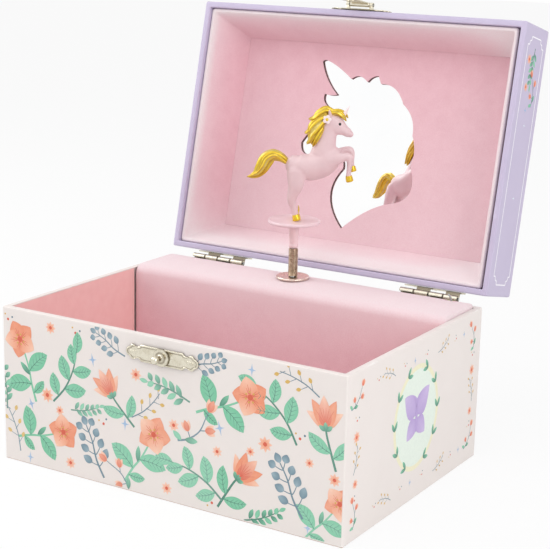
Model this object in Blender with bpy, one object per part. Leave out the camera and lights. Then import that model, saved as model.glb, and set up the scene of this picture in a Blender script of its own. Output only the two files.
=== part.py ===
"""Musical jewellery box: paper-covered base, hinged lid, a figure on a bending spring, a wind-up movement.

Lengths are in metres. The box stands on Z = 0 with its front towards -Y. It is drawn with the lid open
and the figure upright. Pieces of the lid are described as they lie when the lid is closed, and their
carrier turns them open.
"""

import math

import bmesh
import bpy
from mathutils import Matrix, Vector

# Carcass
BOX_WIDTH = 0.152
BOX_DEPTH = 0.1093
BASE_HEIGHT = 0.0617
LID_HEIGHT = 0.0244
BASE_WALL = 0.0019
BOTTOM_BOARD = 0.0022
LID_WALL = 0.0026
LID_BOARD = 0.0021
LID_GAP = 0.0006
LID_OPEN_DEG = 103.0
GLUE_GAP = 0.0003

# Card linings of the compartment
CARD = 0.0005
CARD_BELOW_RIM = 0.0004
FLOOR_PAD = 0.0016

# Padded cover over the movement
SHELF_DEPTH = 0.02645
SHELF_END_GAP = 0.0010
SHELF_PAD = 0.0044
SHELF_PROUD = 0.0014
SHELF_CROWN = 0.0011
SHELF_EDGE_RADIUS = 0.0038
SHELF_FRONT = 0.0026
SHELF_STATIONS = 14
SHELF_TOP_STEPS = 6
SHELF_ARC_STEPS = 5

# Lid linings, inner panel and mirror
LINING = 0.0018
LINING_RECESS = 0.0021
LINING_INSET_X = 0.0102
LINING_INSET_Y = 0.0092
PANEL = 0.0016
MIRROR = 0.0009
MIRROR_MARGIN = 0.006
CUTOUT_HEIGHT = 0.071
CURVE_STEPS = 4

# Hinges
HINGE_SETBACK = 0.0028
HINGE_RISE = 0.0007
HINGE_FROM_END = 0.012
HINGE_WIDTH = 0.026
HINGE_LEAF = 0.0005
HINGE_LEAF_HEIGHT = 0.0075
HINGE_FOOT = 0.0010
HINGE_BARREL_RADIUS = 0.0013
HINGE_BORE_RADIUS = 0.0008
HINGE_PIN_RADIUS = 0.0005
HINGE_KNUCKLES = 4
HINGE_CURL_START_DEG = -100.0
HINGE_CURL_DEG = 270.0

# Clasp on the base and hasp on the lid
CLASP_LENGTH = 0.032
CLASP_HEIGHT = 0.0064
CLASP_PLATE = 0.0005
CLASP_BELOW_RIM = 0.0069
KNOB_BALL_RADIUS = 0.0015
KNOB_NECK_RADIUS = 0.0009
KNOB_REACH = 0.0036
KNOB_BOSS_RADIUS = 0.0034
KNOB_BOSS = 0.0004
HASP_LENGTH = 0.028
HASP_HEIGHT = 0.0064
HASP_ABOVE_RIM = 0.0006
HASP_AXIS_ABOVE_RIM = 0.0020
HASP_AXIS_OUT = 0.0027
HASP_BARREL_RADIUS = 0.0010
HASP_BORE_RADIUS = 0.0008
HASP_PIN_RADIUS = 0.0004
HASP_FLAP_WIDTH = 0.0090
HASP_EAR = 0.0014
HASP_EYE_RADIUS = 0.0019
HASP_EYE_MARGIN = 0.0024
HASP_DROOP_DEG = 3.0

# Figure on its bending spring
POST_X = -0.0035
POST_SETBACK = 0.01135
GROMMET_RADIUS = 0.0069
GROMMET_FLANGE = 0.0009
GROMMET_LIP = 0.0016
GROMMET_COLLAR_RADIUS = 0.0026
GROMMET_COLLAR_LENGTH = 0.0062
FOLD_ABOVE_SHELF = 0.0042
FOLD_AHEAD = 0.0030
SPRING_LENGTH = 0.0114
SPRING_RADIUS = 0.00165
SPRING_WIRE_RADIUS = 0.0003
SPRING_CURLS = 9
SPRING_POINTS_PER_CURL = 9
PLUG_RADIUS = 0.0009
PLUG_LENGTH = 0.0020
STEM_HEIGHT = 0.0100
STEM_LOW_RADIUS = 0.00185
STEM_TOP_RADIUS = 0.00235
DISC_RADIUS = 0.0108
DISC = 0.0016
DISC_LIP = 0.0012
DISC_DISH = 0.0003
FIGURE_HEIGHT = 0.0469
FIGURE_FACING_DEG = 31.4
FIGURE_VOXEL = 0.00085
FIGURE_KEPT = 0.26
LOCK_KEPT = 0.39
FIGURE_PAINT_GAP = 0.0004

# Wind-up movement behind the cover
BEDPLATE = 0.0018
BEDPLATE_WIDTH = 0.056
BEDPLATE_HEIGHT = 0.038
BEDPLATE_BOTTOM = 0.0080
EAR = 0.0014
EAR_HALF_HEIGHT = 0.0045
CYLINDER_AXIS_Z = 0.0220
CYLINDER_RADIUS = 0.0060
CYLINDER_LENGTH = 0.0170
CYLINDER_PIN = 0.0006
CYLINDER_PIN_WIDTH = 0.0005
CYLINDER_NOTES = 18
NOTE_SPREAD = 0.382
SHAFT_RADIUS = 0.0010
SHAFT_END = 0.0008
CROWN_PITCH_RADIUS = 0.0050
CROWN_TEETH = 20
PINION_TEETH = 24
TOOTH_DEPTH = 0.0007
TOOTH_MESH = 0.0004
TOOTH_SHARE = 0.35
GEAR_FACE = 0.0010
CROWN_DISC = 0.0014
SPINDLE_RADIUS = 0.0012
SPINDLE_TIP_RADIUS = 0.0009
SPINDLE_TIP = 0.0016
COLLAR_RADIUS = 0.0026
SPINDLE_LUG_ABOVE_CROWN = 0.0040
COMB = 0.0009
COMB_LENGTH = 0.0100
COMB_SPINE = 0.0035
COMB_SLOT = 0.0003
BARREL_RADIUS = 0.0095
BARREL_LENGTH = 0.0110
GOVERNOR_WIDTH = 0.0110
GOVERNOR_HEIGHT = 0.0150
GOVERNOR_DEPTH = 0.0120
ARBOR_RADIUS = 0.0015
ARBOR_IN_BARREL = 0.0070
KEY_STANDOFF = 0.0020
KEY_HUB_RADIUS = 0.0030
KEY_HUB_LENGTH = 0.0060
KEY_WING_LENGTH = 0.0220
KEY_WING_WIDTH = 0.0100
KEY_WING = 0.0014
KEY_SOCKET_SHARE = 0.7
SCREW_HEAD_RADIUS = 0.0028
SCREW_HEAD = 0.0009
SCREW_RADIUS = 0.0012
RUNNING_GAP = 0.0003

# Stop wire that the lid pushes down
STOP_FROM_SIDE = 0.0101
STOP_SETBACK = 0.0015
STOP_RADIUS = 0.0004
STOP_ABOVE_SHELF = 0.0030
STOP_HOOK = 0.0016
STOP_LENGTH = 0.0180
STOP_GUIDE_WIDTH = 0.0050
STOP_GUIDE_HEIGHT = 0.0030

# Places that follow from the sizes
HALF_WIDTH = BOX_WIDTH / 2
HALF_DEPTH = BOX_DEPTH / 2
INNER_X = HALF_WIDTH - BASE_WALL
INNER_Y = HALF_DEPTH - BASE_WALL
FLOOR_Z = BOTTOM_BOARD + GLUE_GAP
RIM_Z = BASE_HEIGHT + LID_GAP
LID_TOP_Z = RIM_Z + LID_HEIGHT
LID_INNER_X = HALF_WIDTH - LID_WALL
LID_INNER_Y = HALF_DEPTH - LID_WALL
MIRROR_TOP_Z = LID_TOP_Z - LID_BOARD - GLUE_GAP
PANEL_TOP_Z = MIRROR_TOP_Z - MIRROR - GLUE_GAP
PANEL_Z = PANEL_TOP_Z - PANEL
HINGE_CENTRE_X = HALF_WIDTH - HINGE_FROM_END - HINGE_WIDTH / 2
HINGE_Y = HALF_DEPTH + HINGE_SETBACK
HINGE_Z = BASE_HEIGHT + HINGE_RISE
SHELF_FRONT_Y = INNER_Y - SHELF_DEPTH
SHELF_EDGE_Z = BASE_HEIGHT + SHELF_PROUD
SHELF_TOP_Z = SHELF_EDGE_Z + SHELF_CROWN
SHELF_UNDER_Z = SHELF_EDGE_Z - SHELF_PAD
POST_Y = INNER_Y - POST_SETBACK
GROMMET_TOP_Z = SHELF_TOP_Z + GLUE_GAP + GROMMET_FLANGE
FOLD_Y = POST_Y - FOLD_AHEAD
FOLD_Z = SHELF_TOP_Z + FOLD_ABOVE_SHELF
SPRING_Z = GROMMET_TOP_Z + GLUE_GAP
STEM_Z = SPRING_Z + SPRING_LENGTH + GLUE_GAP
DISC_Z = STEM_Z + STEM_HEIGHT
DISC_TOP_Z = DISC_Z + DISC
HOOF_Z = DISC_TOP_Z + GLUE_GAP
CLASP_Z = BASE_HEIGHT - CLASP_BELOW_RIM
CLASP_FACE_Y = -HALF_DEPTH - GLUE_GAP - CLASP_PLATE
HASP_AXIS_Y = -HALF_DEPTH - HASP_AXIS_OUT
HASP_AXIS_Z = RIM_Z + HASP_AXIS_ABOVE_RIM
HASP_EYE_DROP = HASP_AXIS_Z - CLASP_Z
BEDPLATE_BACK_Y = INNER_Y - GLUE_GAP
BEDPLATE_FRONT_Y = BEDPLATE_BACK_Y - BEDPLATE
BEDPLATE_TOP_Z = BEDPLATE_BOTTOM + BEDPLATE_HEIGHT
PINION_PITCH_RADIUS = CROWN_PITCH_RADIUS * PINION_TEETH / CROWN_TEETH
PINION_X = POST_X + CROWN_PITCH_RADIUS
PINION_TIP_RADIUS = PINION_PITCH_RADIUS + TOOTH_MESH / 2
CROWN_TIP_Z = CYLINDER_AXIS_Z + PINION_TIP_RADIUS - TOOTH_MESH
CROWN_ROOT_Z = CROWN_TIP_Z + TOOTH_DEPTH
CROWN_TOP_Z = CROWN_ROOT_Z + CROWN_DISC
CROWN_RADIUS = CROWN_PITCH_RADIUS + GEAR_FACE / 2
BEARING_X = POST_X - SPINDLE_RADIUS
CYLINDER_END_X = POST_X - CROWN_RADIUS - RUNNING_GAP - CYLINDER_PIN
CYLINDER_START_X = CYLINDER_END_X - CYLINDER_LENGTH
FAR_EAR_X = CYLINDER_START_X - RUNNING_GAP - EAR
ARBOR_X = PINION_X + GEAR_FACE / 2 + SHAFT_END + RUNNING_GAP + BARREL_RADIUS
BEDPLATE_X = FAR_EAR_X - RUNNING_GAP - EAR
GOVERNOR_X = BEDPLATE_X - GLUE_GAP - GOVERNOR_WIDTH
LUG_Z = CROWN_TOP_Z + SPINDLE_LUG_ABOVE_CROWN
KEY_Y = HALF_DEPTH + KEY_STANDOFF
STOP_X = INNER_X - STOP_FROM_SIDE
STOP_Y = INNER_Y - STOP_SETBACK - GLUE_GAP
STOP_TOP_Z = SHELF_EDGE_Z + STOP_ABOVE_SHELF

# Unicorn, in hundredths of its height: forward, to the left, up, radius
TRUNK = (
    (-1.5, 0.0, 43.5, 9.6),
    (13.5, 0.0, 46.5, 10.6),
    (25.5, 0.0, 53.5, 10.2),
    (30.0, 0.0, 58.5, 7.4),
)
NECK = ((21.0, 0.0, 60.5, 9.6), (24.5, 0.0, 71.0, 7.4), (30.0, 0.0, 84.0, 6.8))
HEAD = ((33.0, 0.0, 86.0, 7.2), (40.0, 0.0, 80.5, 4.6), (45.0, 0.0, 77.6, 3.4))
JAW = ((31.5, 0.0, 81.5, 5.2), (38.0, 0.0, 77.2, 3.4))
HORN = ((39.5, 0.0, 91.0, 2.2), (45.0, 0.0, 99.4, 0.6))
EAR_SHAPE = ((29.0, 4.2, 91.0, 1.9), (27.8, 5.4, 96.0, 0.8))
HIND_LEG = (
    (-0.5, 5.4, 41.5, 8.2),
    (0.5, 5.6, 31.5, 6.2),
    (-4.0, 4.8, 17.0, 3.2),
    (-0.5, 3.8, 8.5, 2.5),
    (1.4, 3.6, 3.0, 3.0),
)
NEAR_FORELEG = (
    (29.0, -5.0, 54.0, 5.6),
    (46.0, -5.0, 57.0, 3.3),
    (45.6, -4.6, 41.0, 2.4),
    (46.2, -4.4, 35.5, 3.0),
)
FAR_FORELEG = (
    (30.0, 5.0, 56.0, 5.4),
    (47.6, 5.0, 61.0, 3.2),
    (48.6, 4.6, 47.5, 2.3),
    (49.4, 4.4, 42.5, 2.9),
)
MANE = (
    (35.5, 0.0, 93.5, 3.4),
    (27.0, -1.5, 94.5, 4.4),
    (18.0, -3.0, 89.5, 5.6),
    (13.0, -4.0, 79.0, 6.0),
    (12.0, -4.5, 69.5, 4.6),
)
TAIL = (
    (-12.0, 0.0, 50.0, 2.6),
    (-20.5, 0.0, 55.0, 4.4),
    (-27.5, 0.0, 48.5, 4.6),
    (-33.5, 0.0, 39.0, 3.2),
    (-41.0, 0.0, 36.0, 0.9),
)

# Unicorn-head cut-out, in hundredths of its height, to the right and up: each corner, then the bend after it
CUTOUT = (
    ((-33.0, 48.5), (-24.0, 44.0)),
    ((-12.5, 38.7), (-6.0, 43.0)),
    ((0.0, 38.0), (2.5, 42.0)),
    ((7.7, 42.2), (8.6, 39.5)),
    ((10.0, 37.3), (22.5, 37.5)),
    ((27.5, 26.0), (35.0, 20.0)),
    ((34.5, 8.5), (38.5, 0.0)),
    ((35.2, -9.0), (44.0, -29.0)),
    ((25.0, -32.8), (12.0, -36.0)),
    ((-3.0, -51.5), (-22.0, -33.0)),
    ((-9.8, -15.3), (-9.0, -4.0)),
    ((-28.0, -6.5), (-41.0, -13.5)),
    ((-41.5, -2.0), (-36.0, 6.0)),
    ((-24.5, 21.8), (-30.0, 24.0)),
    ((-29.0, 29.0), (-24.0, 27.5)),
    ((-19.2, 28.3), (-27.0, 38.0)),
)

# Half of a clasp plate, in shares of its length and height: along, up
PLATE_END_SHARE = (
    (0.29, 0.5),
    (0.32, 0.36),
    (0.37, 0.36),
    (0.39, 0.44),
    (0.43, 0.44),
    (0.46, 0.26),
    (0.49, 0.2),
    (0.5, 0.0),
)

SIDES = 20
SMALL_SIDES = 12
DRUM_SIDES = 24
DISC_SIDES = 32
BALL_STEPS = 6
SMOOTH_ANGLE = math.radians(40)
ALONG = {
    "+X": Matrix.Rotation(math.radians(90), 4, "Y"),
    "+Y": Matrix.Rotation(math.radians(-90), 4, "X"),
    "-Y": Matrix.Rotation(math.radians(90), 4, "X"),
    "+Z": Matrix.Identity(4),
}


class Carrier:
    """An empty on a joint's axis. Its pieces are described around drawn_at, before the carrier turns them."""

    def __init__(self, name, drawn_at, parent=None, turn=(0.0, 0.0, 0.0)):
        self.drawn_at = Vector(drawn_at)
        self.empty = bpy.data.objects.new(name, None)
        self.empty.empty_display_size = LID_HEIGHT
        bpy.context.scene.collection.objects.link(self.empty)
        start = parent.drawn_at if parent else Vector()
        self.empty.location = self.drawn_at - start
        self.empty.rotation_euler = turn
        if parent:
            self.empty.parent = parent.empty


def clear_scene():
    """Removes every object that the opened file holds."""
    for item in list(bpy.data.objects):
        bpy.data.objects.remove(item, do_unlink=True)


def look(name, colour, roughness, metallic=0.0):
    """A Principled material, made once per name."""
    made = bpy.data.materials.get(name)
    if made:
        return made
    made = bpy.data.materials.new(name)
    made.use_nodes = True
    shader = made.node_tree.nodes["Principled BSDF"]
    shader.inputs["Base Color"].default_value = (*colour, 1.0)
    shader.inputs["Roughness"].default_value = roughness
    shader.inputs["Metallic"].default_value = metallic
    made.diffuse_color = (*colour, 1.0)
    return made


def paper_white():
    return look("printed_paper", (0.80, 0.73, 0.70), 0.6)


def paper_lavender():
    return look("lavender_paper", (0.61, 0.53, 0.76), 0.6)


def card_salmon():
    return look("salmon_card", (0.80, 0.36, 0.36), 0.65)


def flock_pink():
    return look("pink_flock", (0.74, 0.43, 0.48), 0.95)


def nickel():
    return look("champagne_nickel", (0.76, 0.71, 0.58), 0.25, 1.0)


def steel():
    return look("steel", (0.55, 0.54, 0.53), 0.3, 1.0)


def brass():
    return look("brass", (0.70, 0.52, 0.24), 0.35, 1.0)


def figure_pink():
    return look("figure_pink", (0.85, 0.62, 0.66), 0.35)


def gold_paint():
    return look("gold_paint", (0.70, 0.49, 0.04), 0.3, 0.8)


def grey_board():
    return look("grey_board", (0.42, 0.38, 0.35), 0.85)


def add_object(name, shape, carrier):
    """Turns a bmesh into an object on its carrier."""
    bmesh.ops.recalc_face_normals(shape, faces=shape.faces[:])
    if carrier:
        bmesh.ops.translate(shape, verts=shape.verts[:], vec=-carrier.drawn_at)
    mesh = bpy.data.meshes.new(name)
    shape.to_mesh(mesh)
    shape.free()
    item = bpy.data.objects.new(name, mesh)
    bpy.context.scene.collection.objects.link(item)
    if carrier:
        item.parent = carrier.empty
    return item


def add_part(name, shape, finish, carrier=None, smooth=False):
    """Adds a named piece with its material."""
    item = add_object(name, shape, carrier)
    item.data.materials.append(finish)
    if smooth:
        item.data.shade_smooth()
        item.data.set_sharp_from_angle(angle=SMOOTH_ANGLE)
    return item


def shape_with(item, shape, operation, carrier=None):
    """Cuts a shape out of a piece, or joins it on, with a Boolean and a hidden tool object."""
    tool = add_object(f"{item.name}_{operation.lower()}_{len(item.modifiers)}", shape, carrier)
    tool.hide_render = True
    tool.display_type = "WIRE"
    change = item.modifiers.new(operation.title(), "BOOLEAN")
    change.operation = operation
    change.solver = "EXACT"
    change.object = tool


def block(low, high):
    """A box between two corners."""
    shape = bmesh.new()
    bmesh.ops.create_cube(shape, size=1.0)
    low, high = Vector(low), Vector(high)
    bmesh.ops.scale(shape, vec=high - low, verts=shape.verts[:])
    bmesh.ops.translate(shape, vec=(low + high) / 2, verts=shape.verts[:])
    return shape


def merged(shapes):
    """Several shapes in one bmesh, for a tool made of separate bodies."""
    whole = bmesh.new()
    for shape in shapes:
        mesh = bpy.data.meshes.new("merged")
        shape.to_mesh(mesh)
        shape.free()
        whole.from_mesh(mesh)
        bpy.data.meshes.remove(mesh)
    return whole


def extruded(outline, low, high, across):
    """A prism: an outline in the plane square to an axis (X, Y or Z), between two places on that axis."""
    spots = {
        "X": lambda u, v, w: (w, u, v),
        "Y": lambda u, v, w: (u, w, v),
        "Z": lambda u, v, w: (u, v, w),
    }
    shape = bmesh.new()
    near = [shape.verts.new(spots[across](u, v, low)) for u, v in outline]
    far = [shape.verts.new(spots[across](u, v, high)) for u, v in outline]
    shape.faces.new(near)
    shape.faces.new(list(reversed(far)))
    join_rings(shape, near, far)
    return shape


def join_rings(shape, lower, upper):
    """Faces between two rings of points, either of which may be a single point."""
    count = max(len(lower), len(upper))
    for i in range(count):
        j = (i + 1) % count
        near = [lower[i % len(lower)], lower[j % len(lower)]]
        far = [upper[j % len(upper)], upper[i % len(upper)]]
        shape.faces.new(list(dict.fromkeys(near + far)))


def turned(profile, centre, along="+Z", sides=SIDES, ring=False):
    """A turned shape: radius and height pairs about an axis. A ring closes from its last pair to the first."""
    shape = bmesh.new()
    rings = []
    for radius, height in profile:
        turns = [2 * math.pi * i / sides for i in range(sides)] if radius else [0.0]
        spots = [(radius * math.cos(a), radius * math.sin(a), height) for a in turns]
        rings.append([shape.verts.new(spot) for spot in spots])
    pairs = list(zip(rings, rings[1:]))
    if ring:
        pairs.append((rings[-1], rings[0]))
    for lower, upper in pairs:
        join_rings(shape, lower, upper)
    bmesh.ops.transform(shape, matrix=Matrix.Translation(centre) @ ALONG[along], verts=shape.verts[:])
    return shape


def rod(radius, length, start, along="+Z", sides=SMALL_SIDES):
    """A plain round bar."""
    return turned(((0.0, 0.0), (radius, 0.0), (radius, length), (0.0, length)), start, along, sides)


def build_base():
    """Four walls and a bottom board, butted with a glue gap."""
    for name, y in (("base_front_panel", -HALF_DEPTH), ("base_back_panel", INNER_Y)):
        shape = block((-HALF_WIDTH, y, 0.0), (HALF_WIDTH, y + BASE_WALL, BASE_HEIGHT))
        wall = add_part(name, shape, paper_white())
        if name == "base_back_panel":
            places = [(ARBOR_X, CYLINDER_AXIS_Z, ARBOR_RADIUS)]
            places += [(x, z, SCREW_RADIUS) for x, z in screw_places()]
            holes = []
            for x, z, radius in places:
                holes.append(rod(radius + RUNNING_GAP, 3 * BASE_WALL, (x, y - BASE_WALL, z), "+Y"))
            shape_with(wall, merged(holes), "DIFFERENCE")
    end = INNER_Y - GLUE_GAP
    for name, x in (("base_left_panel", -HALF_WIDTH), ("base_right_panel", INNER_X)):
        add_part(name, block((x, -end, 0.0), (x + BASE_WALL, end, BASE_HEIGHT)), paper_white())
    side = INNER_X - GLUE_GAP
    add_part("base_bottom_board", block((-side, -end, 0.0), (side, end, BOTTOM_BOARD)), paper_white())


def build_linings():
    """Card on the compartment's walls and a flocked pad on its floor."""
    low, top = FLOOR_Z, BASE_HEIGHT - CARD_BELOW_RIM
    side = INNER_X - GLUE_GAP
    front = -INNER_Y + GLUE_GAP
    back = SHELF_FRONT_Y - GLUE_GAP
    add_part("front_lining", block((-side, front, low), (side, front + CARD, top)), card_salmon())
    start = front + CARD + GLUE_GAP
    add_part("left_lining", block((-side, start, low), (-side + CARD, back, top)), card_salmon())
    add_part("right_lining", block((side - CARD, start, low), (side, back, top)), card_salmon())
    wide = side - CARD - GLUE_GAP
    add_part("floor_pad", block((-wide, start, low), (wide, back, low + FLOOR_PAD)), flock_pink())


def shelf_section(share):
    """The padded top's outline from back to front. share runs from 0 at its ends to 1 along the middle."""
    back = INNER_Y - SHELF_END_GAP
    radius = SHELF_EDGE_RADIUS
    flat_front = SHELF_FRONT_Y + radius
    points = [(back, SHELF_UNDER_Z)]
    for i in range(SHELF_TOP_STEPS + 1):
        t = i / SHELF_TOP_STEPS
        crown = SHELF_CROWN * share * (1 - (2 * t - 1) ** 2)
        points.append((back + (flat_front - back) * t, SHELF_EDGE_Z + crown))
    for i in range(1, SHELF_ARC_STEPS + 1):
        a = math.radians(90) * i / SHELF_ARC_STEPS
        points.append((flat_front - radius * math.sin(a), SHELF_EDGE_Z - radius * (1 - math.cos(a))))
    points.append((SHELF_FRONT_Y, SHELF_UNDER_Z))
    return points


def build_shelf():
    """The padded cover over the movement: a crowned top with a soft front edge, and its front board."""
    half = INNER_X - SHELF_END_GAP
    shape = bmesh.new()
    rings = []
    for i in range(SHELF_STATIONS + 1):
        x = half * math.sin(math.radians(90) * (2 * i / SHELF_STATIONS - 1))
        share = 1 - (x / half) ** 4
        rings.append([shape.verts.new((x, y, z)) for y, z in shelf_section(share)])
    for lower, upper in zip(rings, rings[1:]):
        join_rings(shape, lower, upper)
    shape.faces.new(rings[0])
    shape.faces.new(list(reversed(rings[-1])))
    top = add_part("shelf_top_pad", shape, flock_pink(), smooth=True)
    collar_hole = GROMMET_COLLAR_RADIUS + GLUE_GAP
    holes = [rod(collar_hole, 3 * SHELF_PAD, (POST_X, POST_Y, SHELF_UNDER_Z - SHELF_PAD))]
    slot = STOP_RADIUS + RUNNING_GAP
    holes.append(block(
        (STOP_X - STOP_HOOK - slot, STOP_Y - slot, SHELF_UNDER_Z - SHELF_PAD),
        (STOP_X + slot, INNER_Y, SHELF_TOP_Z + SHELF_PAD),
    ))
    shape_with(top, merged(holes), "DIFFERENCE")
    high = (half, SHELF_FRONT_Y + SHELF_FRONT, SHELF_UNDER_Z - GLUE_GAP)
    add_part("shelf_front_pad", block((-half, SHELF_FRONT_Y, FLOOR_Z), high), flock_pink())


def build_grommet():
    """The dished metal ring that the spindle comes up through."""
    low = SHELF_TOP_Z + GLUE_GAP
    bore = SPINDLE_RADIUS + RUNNING_GAP
    collar = GROMMET_COLLAR_RADIUS
    profile = (
        (bore, GROMMET_TOP_Z - GROMMET_FLANGE / 2),
        (collar, GROMMET_TOP_Z - GROMMET_FLANGE / 2),
        (GROMMET_RADIUS - GROMMET_LIP, GROMMET_TOP_Z - GROMMET_FLANGE / 3),
        (GROMMET_RADIUS - GROMMET_LIP / 2, GROMMET_TOP_Z),
        (GROMMET_RADIUS, low + GROMMET_FLANGE / 3),
        (GROMMET_RADIUS, low),
        (collar, low),
        (collar, low - GROMMET_COLLAR_LENGTH),
        (bore, low - GROMMET_COLLAR_LENGTH),
    )
    add_part("spindle_grommet", turned(profile, (POST_X, POST_Y, 0.0), ring=True), brass(), smooth=True)


def build_lid(lid):
    """The lid's top board and four walls."""
    under = LID_TOP_Z - LID_BOARD
    add_part(
        "lid_top_panel",
        block((-HALF_WIDTH, -HALF_DEPTH, under), (HALF_WIDTH, HALF_DEPTH, LID_TOP_Z)),
        paper_lavender(),
        lid,
    )
    top = under - GLUE_GAP
    for name, y in (("lid_front_wall", -HALF_DEPTH), ("lid_back_wall", LID_INNER_Y)):
        shape = block((-HALF_WIDTH, y, RIM_Z), (HALF_WIDTH, y + LID_WALL, top))
        add_part(name, shape, paper_lavender(), lid)
    end = LID_INNER_Y - GLUE_GAP
    for name, x in (("lid_left_wall", -HALF_WIDTH), ("lid_right_wall", LID_INNER_X)):
        add_part(name, block((x, -end, RIM_Z), (x + LID_WALL, end, top)), paper_lavender(), lid)


def lining_ring(z, x, y):
    """Four corners of a lining frame at one height, counter-clockwise from the front left."""
    return [Vector((-x, -y, z)), Vector((x, -y, z)), Vector((x, y, z)), Vector((-x, y, z))]


def build_lid_linings(lid):
    """Four slanted boards, mitred at the corners, that lead from the rim in to the panel."""
    near_z = RIM_Z + LINING_RECESS
    far_z = PANEL_Z - GLUE_GAP
    near_x, near_y = LID_INNER_X - GLUE_GAP, LID_INNER_Y - GLUE_GAP
    far_x, far_y = LID_INNER_X - LINING_INSET_X, LID_INNER_Y - LINING_INSET_Y
    section = (
        lining_ring(near_z, near_x, near_y),
        lining_ring(near_z, near_x - LINING, near_y - LINING),
        lining_ring(far_z, far_x, far_y),
        lining_ring(far_z, far_x + LINING, far_y + LINING),
    )
    names = ("lid_front_lining", "lid_right_lining", "lid_back_lining", "lid_left_lining")
    for i, name in enumerate(names):
        j = (i + 1) % len(names)
        along = (section[0][j] - section[0][i]).normalized() * GLUE_GAP
        shape = bmesh.new()
        start = [shape.verts.new(ring[i] + along) for ring in section]
        stop = [shape.verts.new(ring[j] - along) for ring in section]
        shape.faces.new(start)
        shape.faces.new(list(reversed(stop)))
        join_rings(shape, start, stop)
        add_part(name, shape, flock_pink(), lid)


def cutout_outline():
    """The cut-out's points: each corner, then a curve to the next one, pulled towards its bend."""
    unit = CUTOUT_HEIGHT / 100
    points = []
    for i, (corner, bend) in enumerate(CUTOUT):
        start, pull = Vector(corner), Vector(bend)
        stop = Vector(CUTOUT[(i + 1) % len(CUTOUT)][0])
        for step in range(CURVE_STEPS):
            t = step / CURVE_STEPS
            spot = start * (1 - t) ** 2 + pull * (2 * t * (1 - t)) + stop * t ** 2
            points.append((spot.x * unit, -spot.y * unit))
    return points


def build_mirror(lid):
    """The flocked panel with its unicorn-head opening, and the mirror behind it."""
    wide, deep = LID_INNER_X - GLUE_GAP, LID_INNER_Y - GLUE_GAP
    board = block((-wide, -deep, PANEL_Z), (wide, deep, PANEL_TOP_Z))
    panel = add_part("mirror_panel", board, flock_pink(), lid)
    outline = cutout_outline()
    shape_with(panel, extruded(outline, PANEL_Z - PANEL, PANEL_TOP_Z + PANEL, "Z"), "DIFFERENCE", lid)
    across = [u for u, v in outline]
    up = [v for u, v in outline]
    low = (min(across) - MIRROR_MARGIN, min(up) - MIRROR_MARGIN, MIRROR_TOP_Z - MIRROR)
    high = (max(across) + MIRROR_MARGIN, max(up) + MIRROR_MARGIN, MIRROR_TOP_Z)
    add_part("mirror", block(low, high), look("mirror_glass", (0.9, 0.9, 0.9), 0.03, 1.0), lid)


def leaf_shape(upwards):
    """A hinge leaf's plate and its knuckle outline in Y and Z, below the axis or, if upwards, above it."""
    flip = 1 if upwards else -1
    inner = HINGE_Y - HINGE_SETBACK + GLUE_GAP
    foot = HINGE_BARREL_RADIUS + HINGE_FOOT
    arc = []
    for i in range(SMALL_SIDES + 1):
        a = math.radians(HINGE_CURL_START_DEG + HINGE_CURL_DEG * i / SMALL_SIDES)
        arc.append((HINGE_Y + HINGE_BARREL_RADIUS * math.cos(a), HINGE_BARREL_RADIUS * math.sin(a)))
    outline = [(inner, -foot), (inner + HINGE_LEAF, -foot), *arc, (inner, -HINGE_BARREL_RADIUS)]
    knuckle = [(y, HINGE_Z - flip * z) for y, z in outline]
    ends = sorted((HINGE_Z + flip * HINGE_BARREL_RADIUS, HINGE_Z + flip * HINGE_LEAF_HEIGHT))
    return (inner, inner + HINGE_LEAF), ends, knuckle


def build_hinges(lid):
    """Two butt hinges on the back faces: base leaf, lid leaf and pin each."""
    pitch = HINGE_WIDTH / HINGE_KNUCKLES
    for side, middle in (("left", -HINGE_CENTRE_X), ("right", HINGE_CENTRE_X)):
        start = middle - HINGE_WIDTH / 2
        for kind, first, carrier in (("base", 0, None), ("lid", 1, lid)):
            (y0, y1), (z0, z1), outline = leaf_shape(kind == "lid")
            plate = block((start, y0, z0), (start + HINGE_WIDTH, y1, z1))
            leaf = add_part(f"hinge_{kind}_leaf_{side}", plate, nickel(), carrier, smooth=True)
            knuckles = []
            for k in range(first, HINGE_KNUCKLES, 2):
                low = start + k * pitch + GLUE_GAP / 2
                knuckles.append(extruded(outline, low, low + pitch - GLUE_GAP, "X"))
            shape_with(leaf, merged(knuckles), "UNION", carrier)
            bore = rod(HINGE_BORE_RADIUS, HINGE_WIDTH + pitch, (start - pitch / 2, HINGE_Y, HINGE_Z), "+X")
            shape_with(leaf, bore, "DIFFERENCE", carrier)
        pin = rod(HINGE_PIN_RADIUS, HINGE_WIDTH, (start, HINGE_Y, HINGE_Z), "+X")
        add_part(f"hinge_pin_{side}", pin, steel(), smooth=True)


def plate_outline(length, height, centre_z):
    """A plate with stepped, pointed ends, in X and Z."""
    quarter = [(u * length, v * height) for u, v in PLATE_END_SHARE]
    right = quarter + [(u, -v) for u, v in reversed(quarter[:-1])]
    left = [(-u, -v) for u, v in right]
    return [(u, centre_z + v) for u, v in right + left]


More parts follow.
